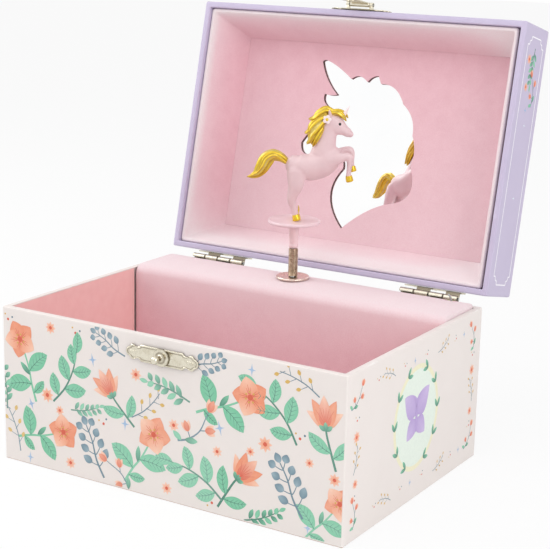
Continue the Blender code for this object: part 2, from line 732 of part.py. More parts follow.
def build_clasp():
    """The plate on the base's front and the ball knob on it."""
    outline = plate_outline(CLASP_LENGTH, CLASP_HEIGHT, CLASP_Z)
    add_part("clasp_plate", extruded(outline, CLASP_FACE_Y, CLASP_FACE_Y + CLASP_PLATE, "Y"), nickel())
    ball = [(KNOB_BOSS_RADIUS, 0.0), (KNOB_BOSS_RADIUS, KNOB_BOSS / 2), (KNOB_NECK_RADIUS * 2, KNOB_BOSS)]
    start = math.degrees(math.asin(KNOB_NECK_RADIUS / KNOB_BALL_RADIUS))
    for i in range(BALL_STEPS):
        a = math.radians(start + (180 - start) * i / BALL_STEPS)
        ball.append((KNOB_BALL_RADIUS * math.sin(a), KNOB_REACH - KNOB_BALL_RADIUS * math.cos(a)))
    neck = (KNOB_NECK_RADIUS, KNOB_BOSS)
    profile = [(0.0, 0.0), *ball[:3], neck, *ball[3:], (0.0, KNOB_REACH + KNOB_BALL_RADIUS)]
    knob = turned(profile, (0.0, CLASP_FACE_Y - GLUE_GAP, CLASP_Z), "-Y", SMALL_SIDES)
    add_part("clasp_knob", knob, nickel(), smooth=True)


def build_hasp(lid, hasp):
    """The hasp's plate and pin on the lid's front wall, and the flap that hangs over the knob."""
    low = RIM_Z + HASP_ABOVE_RIM
    face = -HALF_DEPTH - GLUE_GAP
    outline = plate_outline(HASP_LENGTH, HASP_HEIGHT, low + HASP_HEIGHT / 2)
    plate = add_part("hasp_plate", extruded(outline, face - CLASP_PLATE, face, "Y"), nickel(), lid)
    half = HASP_FLAP_WIDTH / 2
    axis = (HASP_AXIS_Y, HASP_AXIS_Z)
    ears = []
    for start in (-half - RUNNING_GAP - HASP_EAR, half + RUNNING_GAP):
        low = (start, axis[0] - HASP_BARREL_RADIUS, axis[1] - HASP_BARREL_RADIUS)
        high = (start + HASP_EAR, face - CLASP_PLATE / 2, axis[1] + HASP_BARREL_RADIUS)
        ears.append(block(low, high))
    shape_with(plate, merged(ears), "UNION", lid)
    span = half + RUNNING_GAP + HASP_EAR
    bore = rod(HASP_PIN_RADIUS + RUNNING_GAP, 4 * span, (-2 * span, *axis), "+X")
    shape_with(plate, bore, "DIFFERENCE", lid)
    add_part("hasp_pin", rod(HASP_PIN_RADIUS, 2 * span, (-span, *axis), "+X"), steel(), lid, smooth=True)
    tongue = []
    tip = HASP_EYE_RADIUS + HASP_EYE_MARGIN
    for i in range(SIDES + 1):
        a = math.radians(180 + 180 * i / SIDES)
        tongue.append((half * math.cos(a), axis[1] - HASP_EYE_DROP + tip * math.sin(a)))
    tongue += [(half, axis[1]), (-half, axis[1])]
    out = axis[0] - HASP_BARREL_RADIUS
    flap = add_part("hasp_flap", extruded(tongue, out, out + CLASP_PLATE, "Y"), nickel(), hasp)
    barrel = rod(HASP_BARREL_RADIUS, HASP_FLAP_WIDTH, (-half, *axis), "+X", SIDES)
    shape_with(flap, barrel, "UNION", hasp)
    eye_place = (0.0, out - 4 * CLASP_PLATE, axis[1] - HASP_EYE_DROP)
    eye = rod(HASP_EYE_RADIUS, 8 * CLASP_PLATE, eye_place, "+Y", SIDES)
    hole = rod(HASP_BORE_RADIUS, 2 * HASP_FLAP_WIDTH, (-HASP_FLAP_WIDTH, *axis), "+X")
    shape_with(flap, merged((eye, hole)), "DIFFERENCE", hasp)


def spring_points():
    """The spring's centre line: a short straight end, the curls, and a straight end."""
    straight = 2 * SPRING_WIRE_RADIUS
    climb = SPRING_LENGTH - 2 * straight - 2 * SPRING_WIRE_RADIUS
    count = SPRING_CURLS * SPRING_POINTS_PER_CURL
    points = [(SPRING_RADIUS, 0.0, 0.0)]
    for i in range(count + 1):
        a = 2 * math.pi * i / SPRING_POINTS_PER_CURL
        height = straight + climb * i / count
        points.append((SPRING_RADIUS * math.cos(a), SPRING_RADIUS * math.sin(a), height))
    points.append((SPRING_RADIUS, 0.0, 2 * straight + climb))
    return [Vector(p) + Vector((POST_X, POST_Y, SPRING_Z + SPRING_WIRE_RADIUS)) for p in points]


def least_gap(points, radius, apart):
    """The least space between a tube's turns: points at least apart places from each other along it."""
    best = math.inf
    for i, spot in enumerate(points):
        for other in points[i + apart:]:
            best = min(best, (spot - other).length - 2 * radius)
    return best


def build_spring(fold):
    """The bending spring that carries the figure, as one wound wire."""
    points = spring_points()
    gap = least_gap(points, SPRING_WIRE_RADIUS, SPRING_POINTS_PER_CURL - 2)
    print(f"bending_spring least gap to itself: {gap * 1000:.2f} mm")
    curve = bpy.data.curves.new("bending_spring", "CURVE")
    curve.dimensions = "3D"
    curve.bevel_depth = SPRING_WIRE_RADIUS
    curve.bevel_resolution = 1
    curve.use_fill_caps = True
    line = curve.splines.new("POLY")
    line.points.add(len(points) - 1)
    for place, spot in zip(line.points, points):
        place.co = (*(spot - fold.drawn_at), 1.0)
    curve.materials.append(nickel())
    item = bpy.data.objects.new("bending_spring", curve)
    bpy.context.scene.collection.objects.link(item)
    item.parent = fold.empty


def build_stand(figure):
    """The moulded stand: a plug in the spring's end, a tapered stem and a disc with a lip."""
    profile = (
        (0.0, STEM_Z - PLUG_LENGTH),
        (PLUG_RADIUS, STEM_Z - PLUG_LENGTH),
        (PLUG_RADIUS, STEM_Z),
        (STEM_LOW_RADIUS, STEM_Z),
        (STEM_TOP_RADIUS, DISC_Z),
        (DISC_RADIUS - DISC / 2, DISC_Z),
        (DISC_RADIUS, DISC_Z + DISC / 2),
        (DISC_RADIUS - DISC_LIP / 2, DISC_TOP_Z),
        (DISC_RADIUS - DISC_LIP, DISC_TOP_Z - DISC_DISH),
        (0.0, DISC_TOP_Z - DISC_DISH),
    )
    shape = turned(profile, (POST_X, POST_Y, 0.0), sides=DISC_SIDES)
    add_part("figure_stand", shape, figure_pink(), figure, smooth=True)


def limb_pieces(chain, extra=0.0):
    """Tapered round pieces along a chain of places and radii, each the hull of two balls."""
    unit = FIGURE_HEIGHT / 100
    foot = Vector((POST_X, POST_Y, HOOF_Z))
    pieces = []
    for start, stop in zip(chain, chain[1:]):
        shape = bmesh.new()
        for x, y, z, radius in (start, stop):
            spot = Matrix.Translation(foot + Vector((x, y, z)) * unit)
            bmesh.ops.create_icosphere(shape, subdivisions=2, radius=radius * unit + extra, matrix=spot)
        hull = bmesh.ops.convex_hull(shape, input=shape.verts[:])
        inside = [v for v in hull["geom_interior"] if isinstance(v, bmesh.types.BMVert)]
        bmesh.ops.delete(shape, geom=inside, context="VERTS")
        pieces.append(shape)
    return pieces


def mirrored(chain):
    """The same chain on the figure's other side."""
    return tuple((x, -y, z, radius) for x, y, z, radius in chain)


def body_pieces(extra=0.0):
    """Every round piece of the unicorn's body, grown by extra."""
    chains = [TRUNK, NECK, HEAD, JAW, HORN, NEAR_FORELEG, FAR_FORELEG]
    for chain in (EAR_SHAPE, HIND_LEG):
        chains += [chain, mirrored(chain)]
    return [piece for chain in chains for piece in limb_pieces(chain, extra)]


def melt(item, voxel, kept):
    """Melts overlapping pieces into one skin and thins it out."""
    skin = item.modifiers.new("Skin", "REMESH")
    skin.mode = "VOXEL"
    skin.voxel_size = voxel
    skin.use_smooth_shade = True
    thin = item.modifiers.new("Thin", "DECIMATE")
    thin.ratio = kept


def floor_tool():
    """A block under the hooves, which stands for the disc that they are cut level on."""
    reach = DISC_RADIUS * 4
    low = (POST_X - reach, POST_Y - reach, HOOF_Z - reach)
    return block(low, (POST_X + reach, POST_Y + reach, HOOF_Z))


def build_unicorn(figure):
    """The rearing unicorn, split where its paint changes: body, mane and tail."""
    body = add_part("unicorn_body", merged(body_pieces()), figure_pink(), figure)
    melt(body, FIGURE_VOXEL, FIGURE_KEPT)
    shape_with(body, floor_tool(), "DIFFERENCE", figure)
    guard = add_object("unicorn_body_guard", merged(body_pieces(FIGURE_PAINT_GAP)), figure)
    guard.hide_render = True
    guard.display_type = "WIRE"
    melt(guard, FIGURE_VOXEL, 1.0)
    for name, chain in (("unicorn_mane", MANE), ("unicorn_tail", TAIL)):
        lock = add_part(name, merged(limb_pieces(chain)), gold_paint(), figure)
        melt(lock, FIGURE_VOXEL, LOCK_KEPT)
        change = lock.modifiers.new("Clear", "BOOLEAN")
        change.operation = "DIFFERENCE"
        change.solver = "EXACT"
        change.object = guard


def screw_places():
    """Where the two screws hold the movement to the back wall."""
    margin = 2 * SCREW_HEAD_RADIUS
    left = BEDPLATE_X + margin
    right = BEDPLATE_X + BEDPLATE_WIDTH - margin
    return ((left, BEDPLATE_TOP_Z - margin), (right, BEDPLATE_TOP_Z - margin))


def build_bedplate():
    """The movement's bedplate with the ears that carry the cylinder, the comb and the spindle."""
    front, back = BEDPLATE_FRONT_Y, BEDPLATE_BACK_Y
    plate = block((BEDPLATE_X, front, BEDPLATE_BOTTOM), (BEDPLATE_X + BEDPLATE_WIDTH, back, BEDPLATE_TOP_Z))
    bed = add_part("movement_bedplate", plate, brass())
    root = front + BEDPLATE / 2
    tip = POST_Y - EAR_HALF_HEIGHT
    low, high = CYLINDER_AXIS_Z - EAR_HALF_HEIGHT, CYLINDER_AXIS_Z + EAR_HALF_HEIGHT
    comb_face = POST_Y + COMB / 2 + GLUE_GAP
    comb_top = CYLINDER_AXIS_Z - CYLINDER_RADIUS - CYLINDER_PIN - RUNNING_GAP - COMB_LENGTH + COMB_SPINE
    lug = COLLAR_RADIUS + EAR
    ears = [
        block((FAR_EAR_X, tip, low), (FAR_EAR_X + EAR, root, high)),
        block((BEARING_X, tip, low), (BEARING_X + EAR, root, high)),
        block((CYLINDER_START_X, comb_face, comb_top - COMB_SPINE), (CYLINDER_END_X, root, comb_top)),
        block((POST_X - lug, POST_Y - lug, LUG_Z), (POST_X + lug, root, LUG_Z + EAR)),
    ]
    shape_with(bed, merged(ears), "UNION")
    shaft_hole = SHAFT_RADIUS + RUNNING_GAP
    holes = [
        rod(shaft_hole, 2 * BEDPLATE_WIDTH, (BEDPLATE_X - BEDPLATE_WIDTH / 2, POST_Y, CYLINDER_AXIS_Z), "+X"),
        rod(SPINDLE_RADIUS + RUNNING_GAP, 3 * EAR, (POST_X, POST_Y, LUG_Z - EAR)),
        rod(ARBOR_RADIUS + RUNNING_GAP, 3 * BEDPLATE, (ARBOR_X, front - BEDPLATE, CYLINDER_AXIS_Z), "+Y"),
    ]
    for x, z in screw_places():
        holes.append(rod(SCREW_RADIUS + RUNNING_GAP, 3 * BEDPLATE, (x, front - BEDPLATE, z), "+Y"))
    shape_with(bed, merged(holes), "DIFFERENCE")
    for side, (x, z) in zip(("left", "right"), screw_places()):
        length = HALF_DEPTH + GLUE_GAP - front
        profile = (
            (0.0, 0.0),
            (SCREW_RADIUS, 0.0),
            (SCREW_RADIUS, length),
            (SCREW_HEAD_RADIUS, length),
            (SCREW_HEAD_RADIUS, length + SCREW_HEAD / 2),
            (SCREW_HEAD_RADIUS - SCREW_HEAD / 2, length + SCREW_HEAD),
            (0.0, length + SCREW_HEAD),
        )
        screw = turned(profile, (x, front, z), "+Y", SMALL_SIDES)
        add_part(f"movement_screw_{side}", screw, nickel(), smooth=True)


def build_comb():
    """The steel comb below the cylinder, one tooth for each note."""
    top = CYLINDER_AXIS_Z - CYLINDER_RADIUS - CYLINDER_PIN - RUNNING_GAP
    root = top - COMB_LENGTH + COMB_SPINE
    pitch = CYLINDER_LENGTH / CYLINDER_NOTES
    outline = []
    for i in range(CYLINDER_NOTES):
        left = CYLINDER_START_X + i * pitch
        right = left + pitch - COMB_SLOT
        outline += [(left, root), (left, top), (right, top), (right, root)]
    outline[0] = (CYLINDER_START_X, top - COMB_LENGTH)
    outline[-1] = (right, top - COMB_LENGTH)
    add_part("movement_comb", extruded(outline, POST_Y - COMB / 2, POST_Y + COMB / 2, "Y"), steel())


def pinion_outline():
    """A spur pinion's outline about the cylinder's axis, with a gap between teeth at its top."""
    points = []
    pitch = 2 * math.pi / PINION_TEETH
    root = PINION_TIP_RADIUS - TOOTH_DEPTH
    wide = pitch * TOOTH_SHARE
    for i in range(PINION_TEETH):
        left, right = (i + 0.5) * pitch - wide / 2, (i + 0.5) * pitch + wide / 2
        corners = ((left, root), (left, PINION_TIP_RADIUS), (right, PINION_TIP_RADIUS), (right, root))
        for spin, radius in corners:
            points.append((POST_Y + radius * math.sin(spin), CYLINDER_AXIS_Z + radius * math.cos(spin)))
    return points


def build_cylinder(cylinder):
    """The pinned cylinder on its shaft, with the pinion that drives the spindle."""
    shaft_start = FAR_EAR_X - RUNNING_GAP - CYLINDER_START_X
    shaft_stop = PINION_X + GEAR_FACE / 2 + SHAFT_END - CYLINDER_START_X
    profile = (
        (0.0, shaft_start),
        (SHAFT_RADIUS, shaft_start),
        (SHAFT_RADIUS, 0.0),
        (CYLINDER_RADIUS, 0.0),
        (CYLINDER_RADIUS, CYLINDER_LENGTH),
        (SHAFT_RADIUS, CYLINDER_LENGTH),
        (SHAFT_RADIUS, shaft_stop),
        (0.0, shaft_stop),
    )
    place = (CYLINDER_START_X, POST_Y, CYLINDER_AXIS_Z)
    shape = turned(profile, place, "+X", DRUM_SIDES)
    drum = add_part("pinned_cylinder", shape, brass(), cylinder, smooth=True)
    added = [extruded(pinion_outline(), PINION_X - GEAR_FACE / 2, PINION_X + GEAR_FACE / 2, "X")]
    pitch = CYLINDER_LENGTH / CYLINDER_NOTES
    wide = CYLINDER_PIN_WIDTH / 2
    for i in range(CYLINDER_NOTES):
        x = (i + 0.5) * pitch - COMB_SLOT / 2
        low = (x - wide, -wide, CYLINDER_RADIUS - CYLINDER_PIN)
        pin = block(low, (x + wide, wide, CYLINDER_RADIUS + CYLINDER_PIN))
        spin = Matrix.Rotation(2 * math.pi * i * NOTE_SPREAD, 4, "X")
        bmesh.ops.transform(pin, matrix=Matrix.Translation(place) @ spin, verts=pin.verts[:])
        added.append(pin)
    shape_with(drum, merged(added), "UNION", cylinder)


def build_spindle(spindle):
    """The upright spindle that turns the figure, with its crown wheel and a collar over the lug."""
    lug_top = LUG_Z + EAR + RUNNING_GAP
    centre = (POST_X, POST_Y, 0.0)
    profile = (
        (0.0, CROWN_ROOT_Z),
        (CROWN_RADIUS, CROWN_ROOT_Z),
        (CROWN_RADIUS, CROWN_TOP_Z),
        (SPINDLE_RADIUS, CROWN_TOP_Z),
        (SPINDLE_RADIUS, lug_top),
        (COLLAR_RADIUS, lug_top),
        (COLLAR_RADIUS, lug_top + EAR),
        (SPINDLE_RADIUS, lug_top + EAR),
        (SPINDLE_RADIUS, SHELF_TOP_Z),
        (SPINDLE_TIP_RADIUS, SPRING_Z),
        (SPINDLE_TIP_RADIUS, SPRING_Z + SPINDLE_TIP),
        (0.0, SPRING_Z + SPINDLE_TIP),
    )
    shaft = add_part("drive_spindle", turned(profile, centre), steel(), spindle, smooth=True)
    wide = TOOTH_SHARE * math.pi * CROWN_PITCH_RADIUS / CROWN_TEETH
    teeth = []
    for i in range(CROWN_TEETH):
        low = (CROWN_PITCH_RADIUS - GEAR_FACE / 2, -wide, CROWN_TIP_Z)
        tooth = block(low, (CROWN_RADIUS - GLUE_GAP / 2, wide, CROWN_ROOT_Z + CROWN_DISC / 2))
        spin = Matrix.Rotation(2 * math.pi * i / CROWN_TEETH, 4, "Z")
        bmesh.ops.transform(tooth, matrix=Matrix.Translation(centre) @ spin, verts=tooth.verts[:])
        teeth.append(tooth)
    shape_with(shaft, merged(teeth), "UNION", spindle)


def build_drive(key):
    """The spring barrel, the governor's housing, and the arbor and key that wind the movement."""
    face = BEDPLATE_FRONT_Y - GLUE_GAP
    chamfer = BARREL_RADIUS / 12
    profile = (
        (0.0, 0.0),
        (BARREL_RADIUS - chamfer, 0.0),
        (BARREL_RADIUS, chamfer),
        (BARREL_RADIUS, BARREL_LENGTH),
        (0.0, BARREL_LENGTH),
    )
    barrel_place = (ARBOR_X, face - BARREL_LENGTH, CYLINDER_AXIS_Z)
    barrel = add_part("spring_barrel", turned(profile, barrel_place, "+Y", DRUM_SIDES), brass(), smooth=True)
    depth = ARBOR_IN_BARREL + RUNNING_GAP
    bore = rod(ARBOR_RADIUS + RUNNING_GAP, 2 * depth, (ARBOR_X, face - depth, CYLINDER_AXIS_Z), "+Y")
    shape_with(barrel, bore, "DIFFERENCE")
    half = GOVERNOR_HEIGHT / 2
    low = (GOVERNOR_X, BEDPLATE_BACK_Y - GOVERNOR_DEPTH, CYLINDER_AXIS_Z - half)
    high = (GOVERNOR_X + GOVERNOR_WIDTH, BEDPLATE_BACK_Y, CYLINDER_AXIS_Z + half)
    add_part("governor_housing", block(low, high), steel())
    start = face - ARBOR_IN_BARREL
    reach = KEY_HUB_LENGTH * KEY_SOCKET_SHARE
    arbor = rod(ARBOR_RADIUS, KEY_Y + reach - start, (ARBOR_X, start, CYLINDER_AXIS_Z), "+Y")
    add_part("winding_arbor", arbor, steel(), key, smooth=True)
    hub_place = (ARBOR_X, KEY_Y, CYLINDER_AXIS_Z)
    hub = rod(KEY_HUB_RADIUS, KEY_HUB_LENGTH, hub_place, "+Y", SIDES)
    winder = add_part("winding_key", hub, nickel(), key, smooth=True)
    lobes = []
    radius = KEY_WING_WIDTH / 2
    middle = KEY_WING_LENGTH / 2 - radius
    for i in range(SIDES + 1):
        a = math.radians(-90 + 180 * i / SIDES)
        lobes.append((middle + radius * math.cos(a), radius * math.sin(a)))
    lobes += [(-u, -v) for u, v in lobes]
    wing_y = KEY_Y + KEY_HUB_LENGTH - KEY_WING
    wing = [(ARBOR_X + u, CYLINDER_AXIS_Z + v) for u, v in lobes]
    shape_with(winder, extruded(wing, wing_y, wing_y + KEY_WING * 1.5, "Y"), "UNION", key)
    deep = reach + GLUE_GAP
    socket = rod(ARBOR_RADIUS + GLUE_GAP, 2 * deep, (ARBOR_X, KEY_Y - deep, CYLINDER_AXIS_Z), "+Y")
    shape_with(winder, socket, "DIFFERENCE", key)


def build_stop(stop):
    """The wire that stops the movement when the lid pushes it down, and its guide on the back wall."""
    points = (
        (STOP_X, STOP_Y, STOP_TOP_Z - STOP_HOOK - STOP_LENGTH),
        (STOP_X, STOP_Y, STOP_TOP_Z - 2 * STOP_HOOK),
        (STOP_X - STOP_HOOK * 0.3, STOP_Y, STOP_TOP_Z - STOP_HOOK),
        (STOP_X - STOP_HOOK, STOP_Y, STOP_TOP_Z - STOP_RADIUS),
    )
    curve = bpy.data.curves.new("stop_wire", "CURVE")
    curve.dimensions = "3D"
    curve.bevel_depth = STOP_RADIUS
    curve.bevel_resolution = 2
    curve.use_fill_caps = True
    line = curve.splines.new("POLY")
    line.points.add(len(points) - 1)
    for place, spot in zip(line.points, points):
        place.co = (*(Vector(spot) - stop.drawn_at), 1.0)
    curve.materials.append(steel())
    item = bpy.data.objects.new("stop_wire", curve)
    bpy.context.scene.collection.objects.link(item)
    item.parent = stop.empty
    half = STOP_GUIDE_WIDTH / 2
    top = SHELF_UNDER_Z - 2 * STOP_GUIDE_HEIGHT
    back = INNER_Y - GLUE_GAP
    low = (STOP_X - half, STOP_Y - half, top - STOP_GUIDE_HEIGHT)
    guide = add_part("stop_guide", block(low, (STOP_X + half, back, top)), brass())
    start = (STOP_X, STOP_Y, top - 2 * STOP_GUIDE_HEIGHT)
    hole = rod(STOP_RADIUS + RUNNING_GAP, 3 * STOP_GUIDE_HEIGHT, start)
    shape_with(guide, hole, "DIFFERENCE")


def main():
    clear_scene()
    lid = Carrier("lid_axis", (0.0, HINGE_Y, HINGE_Z), turn=(-math.radians(LID_OPEN_DEG), 0.0, 0.0))
    droop = math.radians(HASP_DROOP_DEG)
    hasp = Carrier("hasp_axis", (0.0, HASP_AXIS_Y, HASP_AXIS_Z), lid, (droop, 0.0, 0.0))
    fold = Carrier("fold_axis", (POST_X, FOLD_Y, FOLD_Z))
    facing = math.radians(FIGURE_FACING_DEG)
    figure = Carrier("figure_axis", (POST_X, POST_Y, FOLD_Z), fold, (0.0, 0.0, facing))
    spindle = Carrier("spindle_axis", (POST_X, POST_Y, CROWN_TOP_Z))
    cylinder = Carrier("cylinder_axis", (CYLINDER_START_X, POST_Y, CYLINDER_AXIS_Z))
    key = Carrier("key_axis", (ARBOR_X, KEY_Y, CYLINDER_AXIS_Z))
    stop = Carrier("stop_axis", (STOP_X, STOP_Y, STOP_TOP_Z))
    build_base()
    build_linings()
    build_shelf()
    build_grommet()
    build_lid(lid)
    build_lid_linings(lid)
    build_mirror(lid)
    build_hinges(lid)
    build_clasp()
    build_hasp(lid, hasp)
    build_spring(fold)
    build_stand(figure)
    build_unicorn(figure)
    build_bedplate()
    build_comb()
    build_cylinder(cylinder)
    build_spindle(spindle)
    build_drive(key)
    build_stop(stop)


main()
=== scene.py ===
"""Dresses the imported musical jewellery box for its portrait.

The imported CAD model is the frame, and each piece here rides on one of its bodies. Sizes are in millimetres
and turn to metres when a mesh is published. Pieces of the lid are drawn as they lie when it is closed, and
are then turned open with it.
"""

import logging
import math
from dataclasses import dataclass, field
from enum import Enum
from typing import Callable, Sequence

import bmesh
import bpy
from mathutils import Matrix, Vector
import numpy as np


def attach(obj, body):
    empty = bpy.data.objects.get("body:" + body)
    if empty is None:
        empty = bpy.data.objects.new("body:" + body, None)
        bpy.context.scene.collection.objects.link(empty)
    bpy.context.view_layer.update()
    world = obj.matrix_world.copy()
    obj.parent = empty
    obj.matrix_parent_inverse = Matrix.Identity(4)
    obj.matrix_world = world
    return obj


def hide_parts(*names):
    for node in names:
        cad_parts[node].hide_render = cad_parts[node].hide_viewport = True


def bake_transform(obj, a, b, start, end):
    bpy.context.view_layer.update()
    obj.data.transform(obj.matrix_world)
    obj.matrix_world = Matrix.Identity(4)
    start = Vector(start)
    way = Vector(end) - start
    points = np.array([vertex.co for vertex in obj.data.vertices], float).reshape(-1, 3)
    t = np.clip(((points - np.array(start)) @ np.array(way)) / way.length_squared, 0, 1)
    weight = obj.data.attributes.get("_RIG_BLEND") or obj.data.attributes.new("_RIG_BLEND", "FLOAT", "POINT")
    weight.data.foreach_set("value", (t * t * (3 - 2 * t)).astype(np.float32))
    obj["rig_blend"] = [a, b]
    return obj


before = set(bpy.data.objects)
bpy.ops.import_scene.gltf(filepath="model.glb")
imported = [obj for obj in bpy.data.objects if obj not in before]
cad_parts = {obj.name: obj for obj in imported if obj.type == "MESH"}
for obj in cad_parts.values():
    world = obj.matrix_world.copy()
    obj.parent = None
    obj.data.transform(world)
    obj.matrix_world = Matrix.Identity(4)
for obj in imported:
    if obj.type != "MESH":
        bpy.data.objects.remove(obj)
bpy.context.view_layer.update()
LOG = logging.getLogger("jewellery_box")

Colour = tuple[int, int, int]
Row = Sequence[float]
Chain = Sequence[Row]
METRES = 0.001
WELD = 0.0001
# The paper's skin lies this far inside the CAD's faces, and the ink's layers and strokes rise from it.
FILM = 0.12
INK_LIFT = 0.012
INK_STEP = 0.0014
HALF_WIDTH = 76.0
HALF_DEPTH = 54.65
BASE_HEIGHT = 61.7
RIM_Z = 62.3
LID_TOP_Z = 86.7
CORNER = 0.8
INNER_CORNER = 0.4
HINGE_Y = 57.45
HINGE_Z = 62.4
LID_OPEN_DEG = 103.0
POST_X = -3.5
POST_Y = 41.4
POST = Matrix.Translation((POST_X, POST_Y, 0.0))
ARBOR = (12.6, 22.0)
SCREWS = {"left": (-24.7, 40.4), "right": (20.1, 40.4)}
SIDES = ("front", "back", "left", "right")
# Points along a wall and rings near its edges keep the wear on those edges.
WALL_STEPS = 24
WEAR_BAND = 2.0
ROLL = (0.0, 22.5, 45.0, 67.5, 90.0)
SHARP = 38.0


def turn_about(y: float, z: float, degrees: float) -> Matrix:
    """Draws a turn about a line along X.

    Args:
        y: Where the line lies, back.
        z: Its height.
        degrees: How far it turns.

    Returns:
        The turn's matrix.
    """
    spot = Vector((0.0, y, z))
    turn = Matrix.Rotation(math.radians(degrees), 4, "X")
    return Matrix.Translation(spot) @ turn @ Matrix.Translation(-spot)


LID_TURN = turn_about(HINGE_Y, HINGE_Z, -LID_OPEN_DEG)


def linear(colour: Colour) -> tuple[float, float, float, float]:
    """Turns an sRGB colour of 0 to 255 into linear light.

    Args:
        colour: Red, green and blue as seen on a screen.

    Returns:
        Red, green, blue and a full alpha.
    """
    parts = []
    for part in colour:
        share = part / 255
        parts.append(share / 12.92 if share <= 0.04045 else ((share + 0.055) / 1.055) ** 2.4)
    return parts[0], parts[1], parts[2], 1.0


def between(first: Colour, second: Colour, share: float) -> Colour:
    """Returns the colour that lies a share of the way from the first to the second."""
    return tuple(a + (b - a) * share for a, b in zip(first, second))


def polar(at: Row, degrees: float, reach: float) -> tuple[float, float]:
    """Returns the point that lies at a reach from another, in a direction."""
    a = math.radians(degrees)
    return at[0] + reach * math.cos(a), at[1] + reach * math.sin(a)


def smooth_chain(chain: Sequence[Row], steps: int) -> list[list[float]]:
    """Draws a smooth line through the rows of a chain, all columns alike.

    Args:
        chain: Rows of numbers, such as places with radii.
        steps: Rows made for each stretch of the chain.

    Returns:
        The rows of the smooth line, ends included.
    """
    rows = [chain[0], *chain, chain[-1]]
    line = []
    for p0, p1, p2, p3 in zip(rows, rows[1:], rows[2:], rows[3:]):
        for step in range(steps):
            t = step / steps
            line.append([
                b + 0.5 * t * (c - a + t * (2 * a - 5 * b + 4 * c - d + t * (3 * (b - c) + d - a)))
                for a, b, c, d in zip(p0, p1, p2, p3)
            ])
    line.append(list(chain[-1]))
    return line


def rounded_ring(half_x: float, half_y: float, radius: float, z: float, side_steps: int = 1) -> list[Vector]:
    """Draws a level rectangle with round corners.

    Args:
        half_x: Half its width.
        half_y: Half its depth.
        radius: Its corner radius.
        z: Its height.
        side_steps: Stretches along each straight side.

    Returns:
        Its points, counter-clockwise.
    """
    corner_steps = 4
    corners = ((1, 1), (-1, 1), (-1, -1), (1, -1))
    ring = []
    for i, (sx, sy) in enumerate(corners):
        for step in range(corner_steps + 1):
            a = math.radians(90) * (i + step / corner_steps)
            x = sx * (half_x - radius) + radius * math.cos(a)
            y = sy * (half_y - radius) + radius * math.sin(a)
            ring.append(Vector((x, y, z)))
        nx, ny = corners[(i + 1) % 4]
        a = math.radians(90) * (i + 1)
        stop = Vector((nx * (half_x - radius), ny * (half_y - radius), z))
        stop += Vector((radius * math.cos(a), radius * math.sin(a), 0.0))
        start = ring[-1]
        ring.extend(start.lerp(stop, k / side_steps) for k in range(1, side_steps))
    return ring


def wall_ring(half_x: float, half_y: float, radius: float, z: float) -> list[Vector]:
    """Draws a rounded rectangle with enough points to keep wear near its corners."""
    return rounded_ring(half_x, half_y, radius, z, WALL_STEPS)


def rolled_edge(
    half_x: float, half_y: float, corner: float, z: float, radius: float, angles: Row = ROLL,
    inwards: int = 1, upwards: int = 1, pinch: float = 0.0,
) -> list[list[Vector]]:
    """Draws the rings of an edge that is rolled round.

    Args:
        half_x: Half the width where the roll starts.
        half_y: Half the depth there.
        corner: The corner radius there.
        z: The height of the roll's crown.
        radius: The roll's radius.
        angles: Where round the roll each ring lies, in degrees.
        inwards: 1 where the roll closes in towards its crown, or -1.
        upwards: 1 where the crown is the top of the roll, or -1.
        pinch: How much the corner radius shrinks as the rings step in.

    Returns:
        The rings, in order.
    """
    lift = upwards * radius
    rings = []
    for degrees in angles:
        a = math.radians(degrees)
        inset = radius * (1 - math.cos(a))
        step = inwards * inset
        height = z - lift + lift * math.sin(a)
        rings.append(wall_ring(half_x - step, half_y - step, corner - pinch * inset, height))
    return rings


def sharpen(mesh: bpy.types.Mesh, degrees: float) -> None:
    """Shades a mesh smooth, with sharp edges where its faces meet at more than the angle."""
    mesh.shade_smooth()
    mesh.set_sharp_from_angle(angle=math.radians(degrees))


def add_item(name: str, data: bpy.types.ID) -> bpy.types.Object:
    """Adds an object to the scene.

    Args:
        name: Its name.
        data: Its mesh, camera or light.

    Returns:
        The object.
    """
    item = bpy.data.objects.new(name, data)
    bpy.context.scene.collection.objects.link(item)
    return item


def bake(item: bpy.types.Object) -> None:
    """Puts the result of an object's modifiers into its mesh and clears them.

    Args:
        item: The object.
    """
    bpy.context.view_layer.update()
    graph = bpy.context.evaluated_depsgraph_get()
    made = bpy.data.meshes.new_from_object(item.evaluated_get(graph))
    old = item.data
    item.modifiers.clear()
    item.data = made
    made.name = item.name
    bpy.data.meshes.remove(old)


Verts = Sequence[bmesh.types.BMVert]


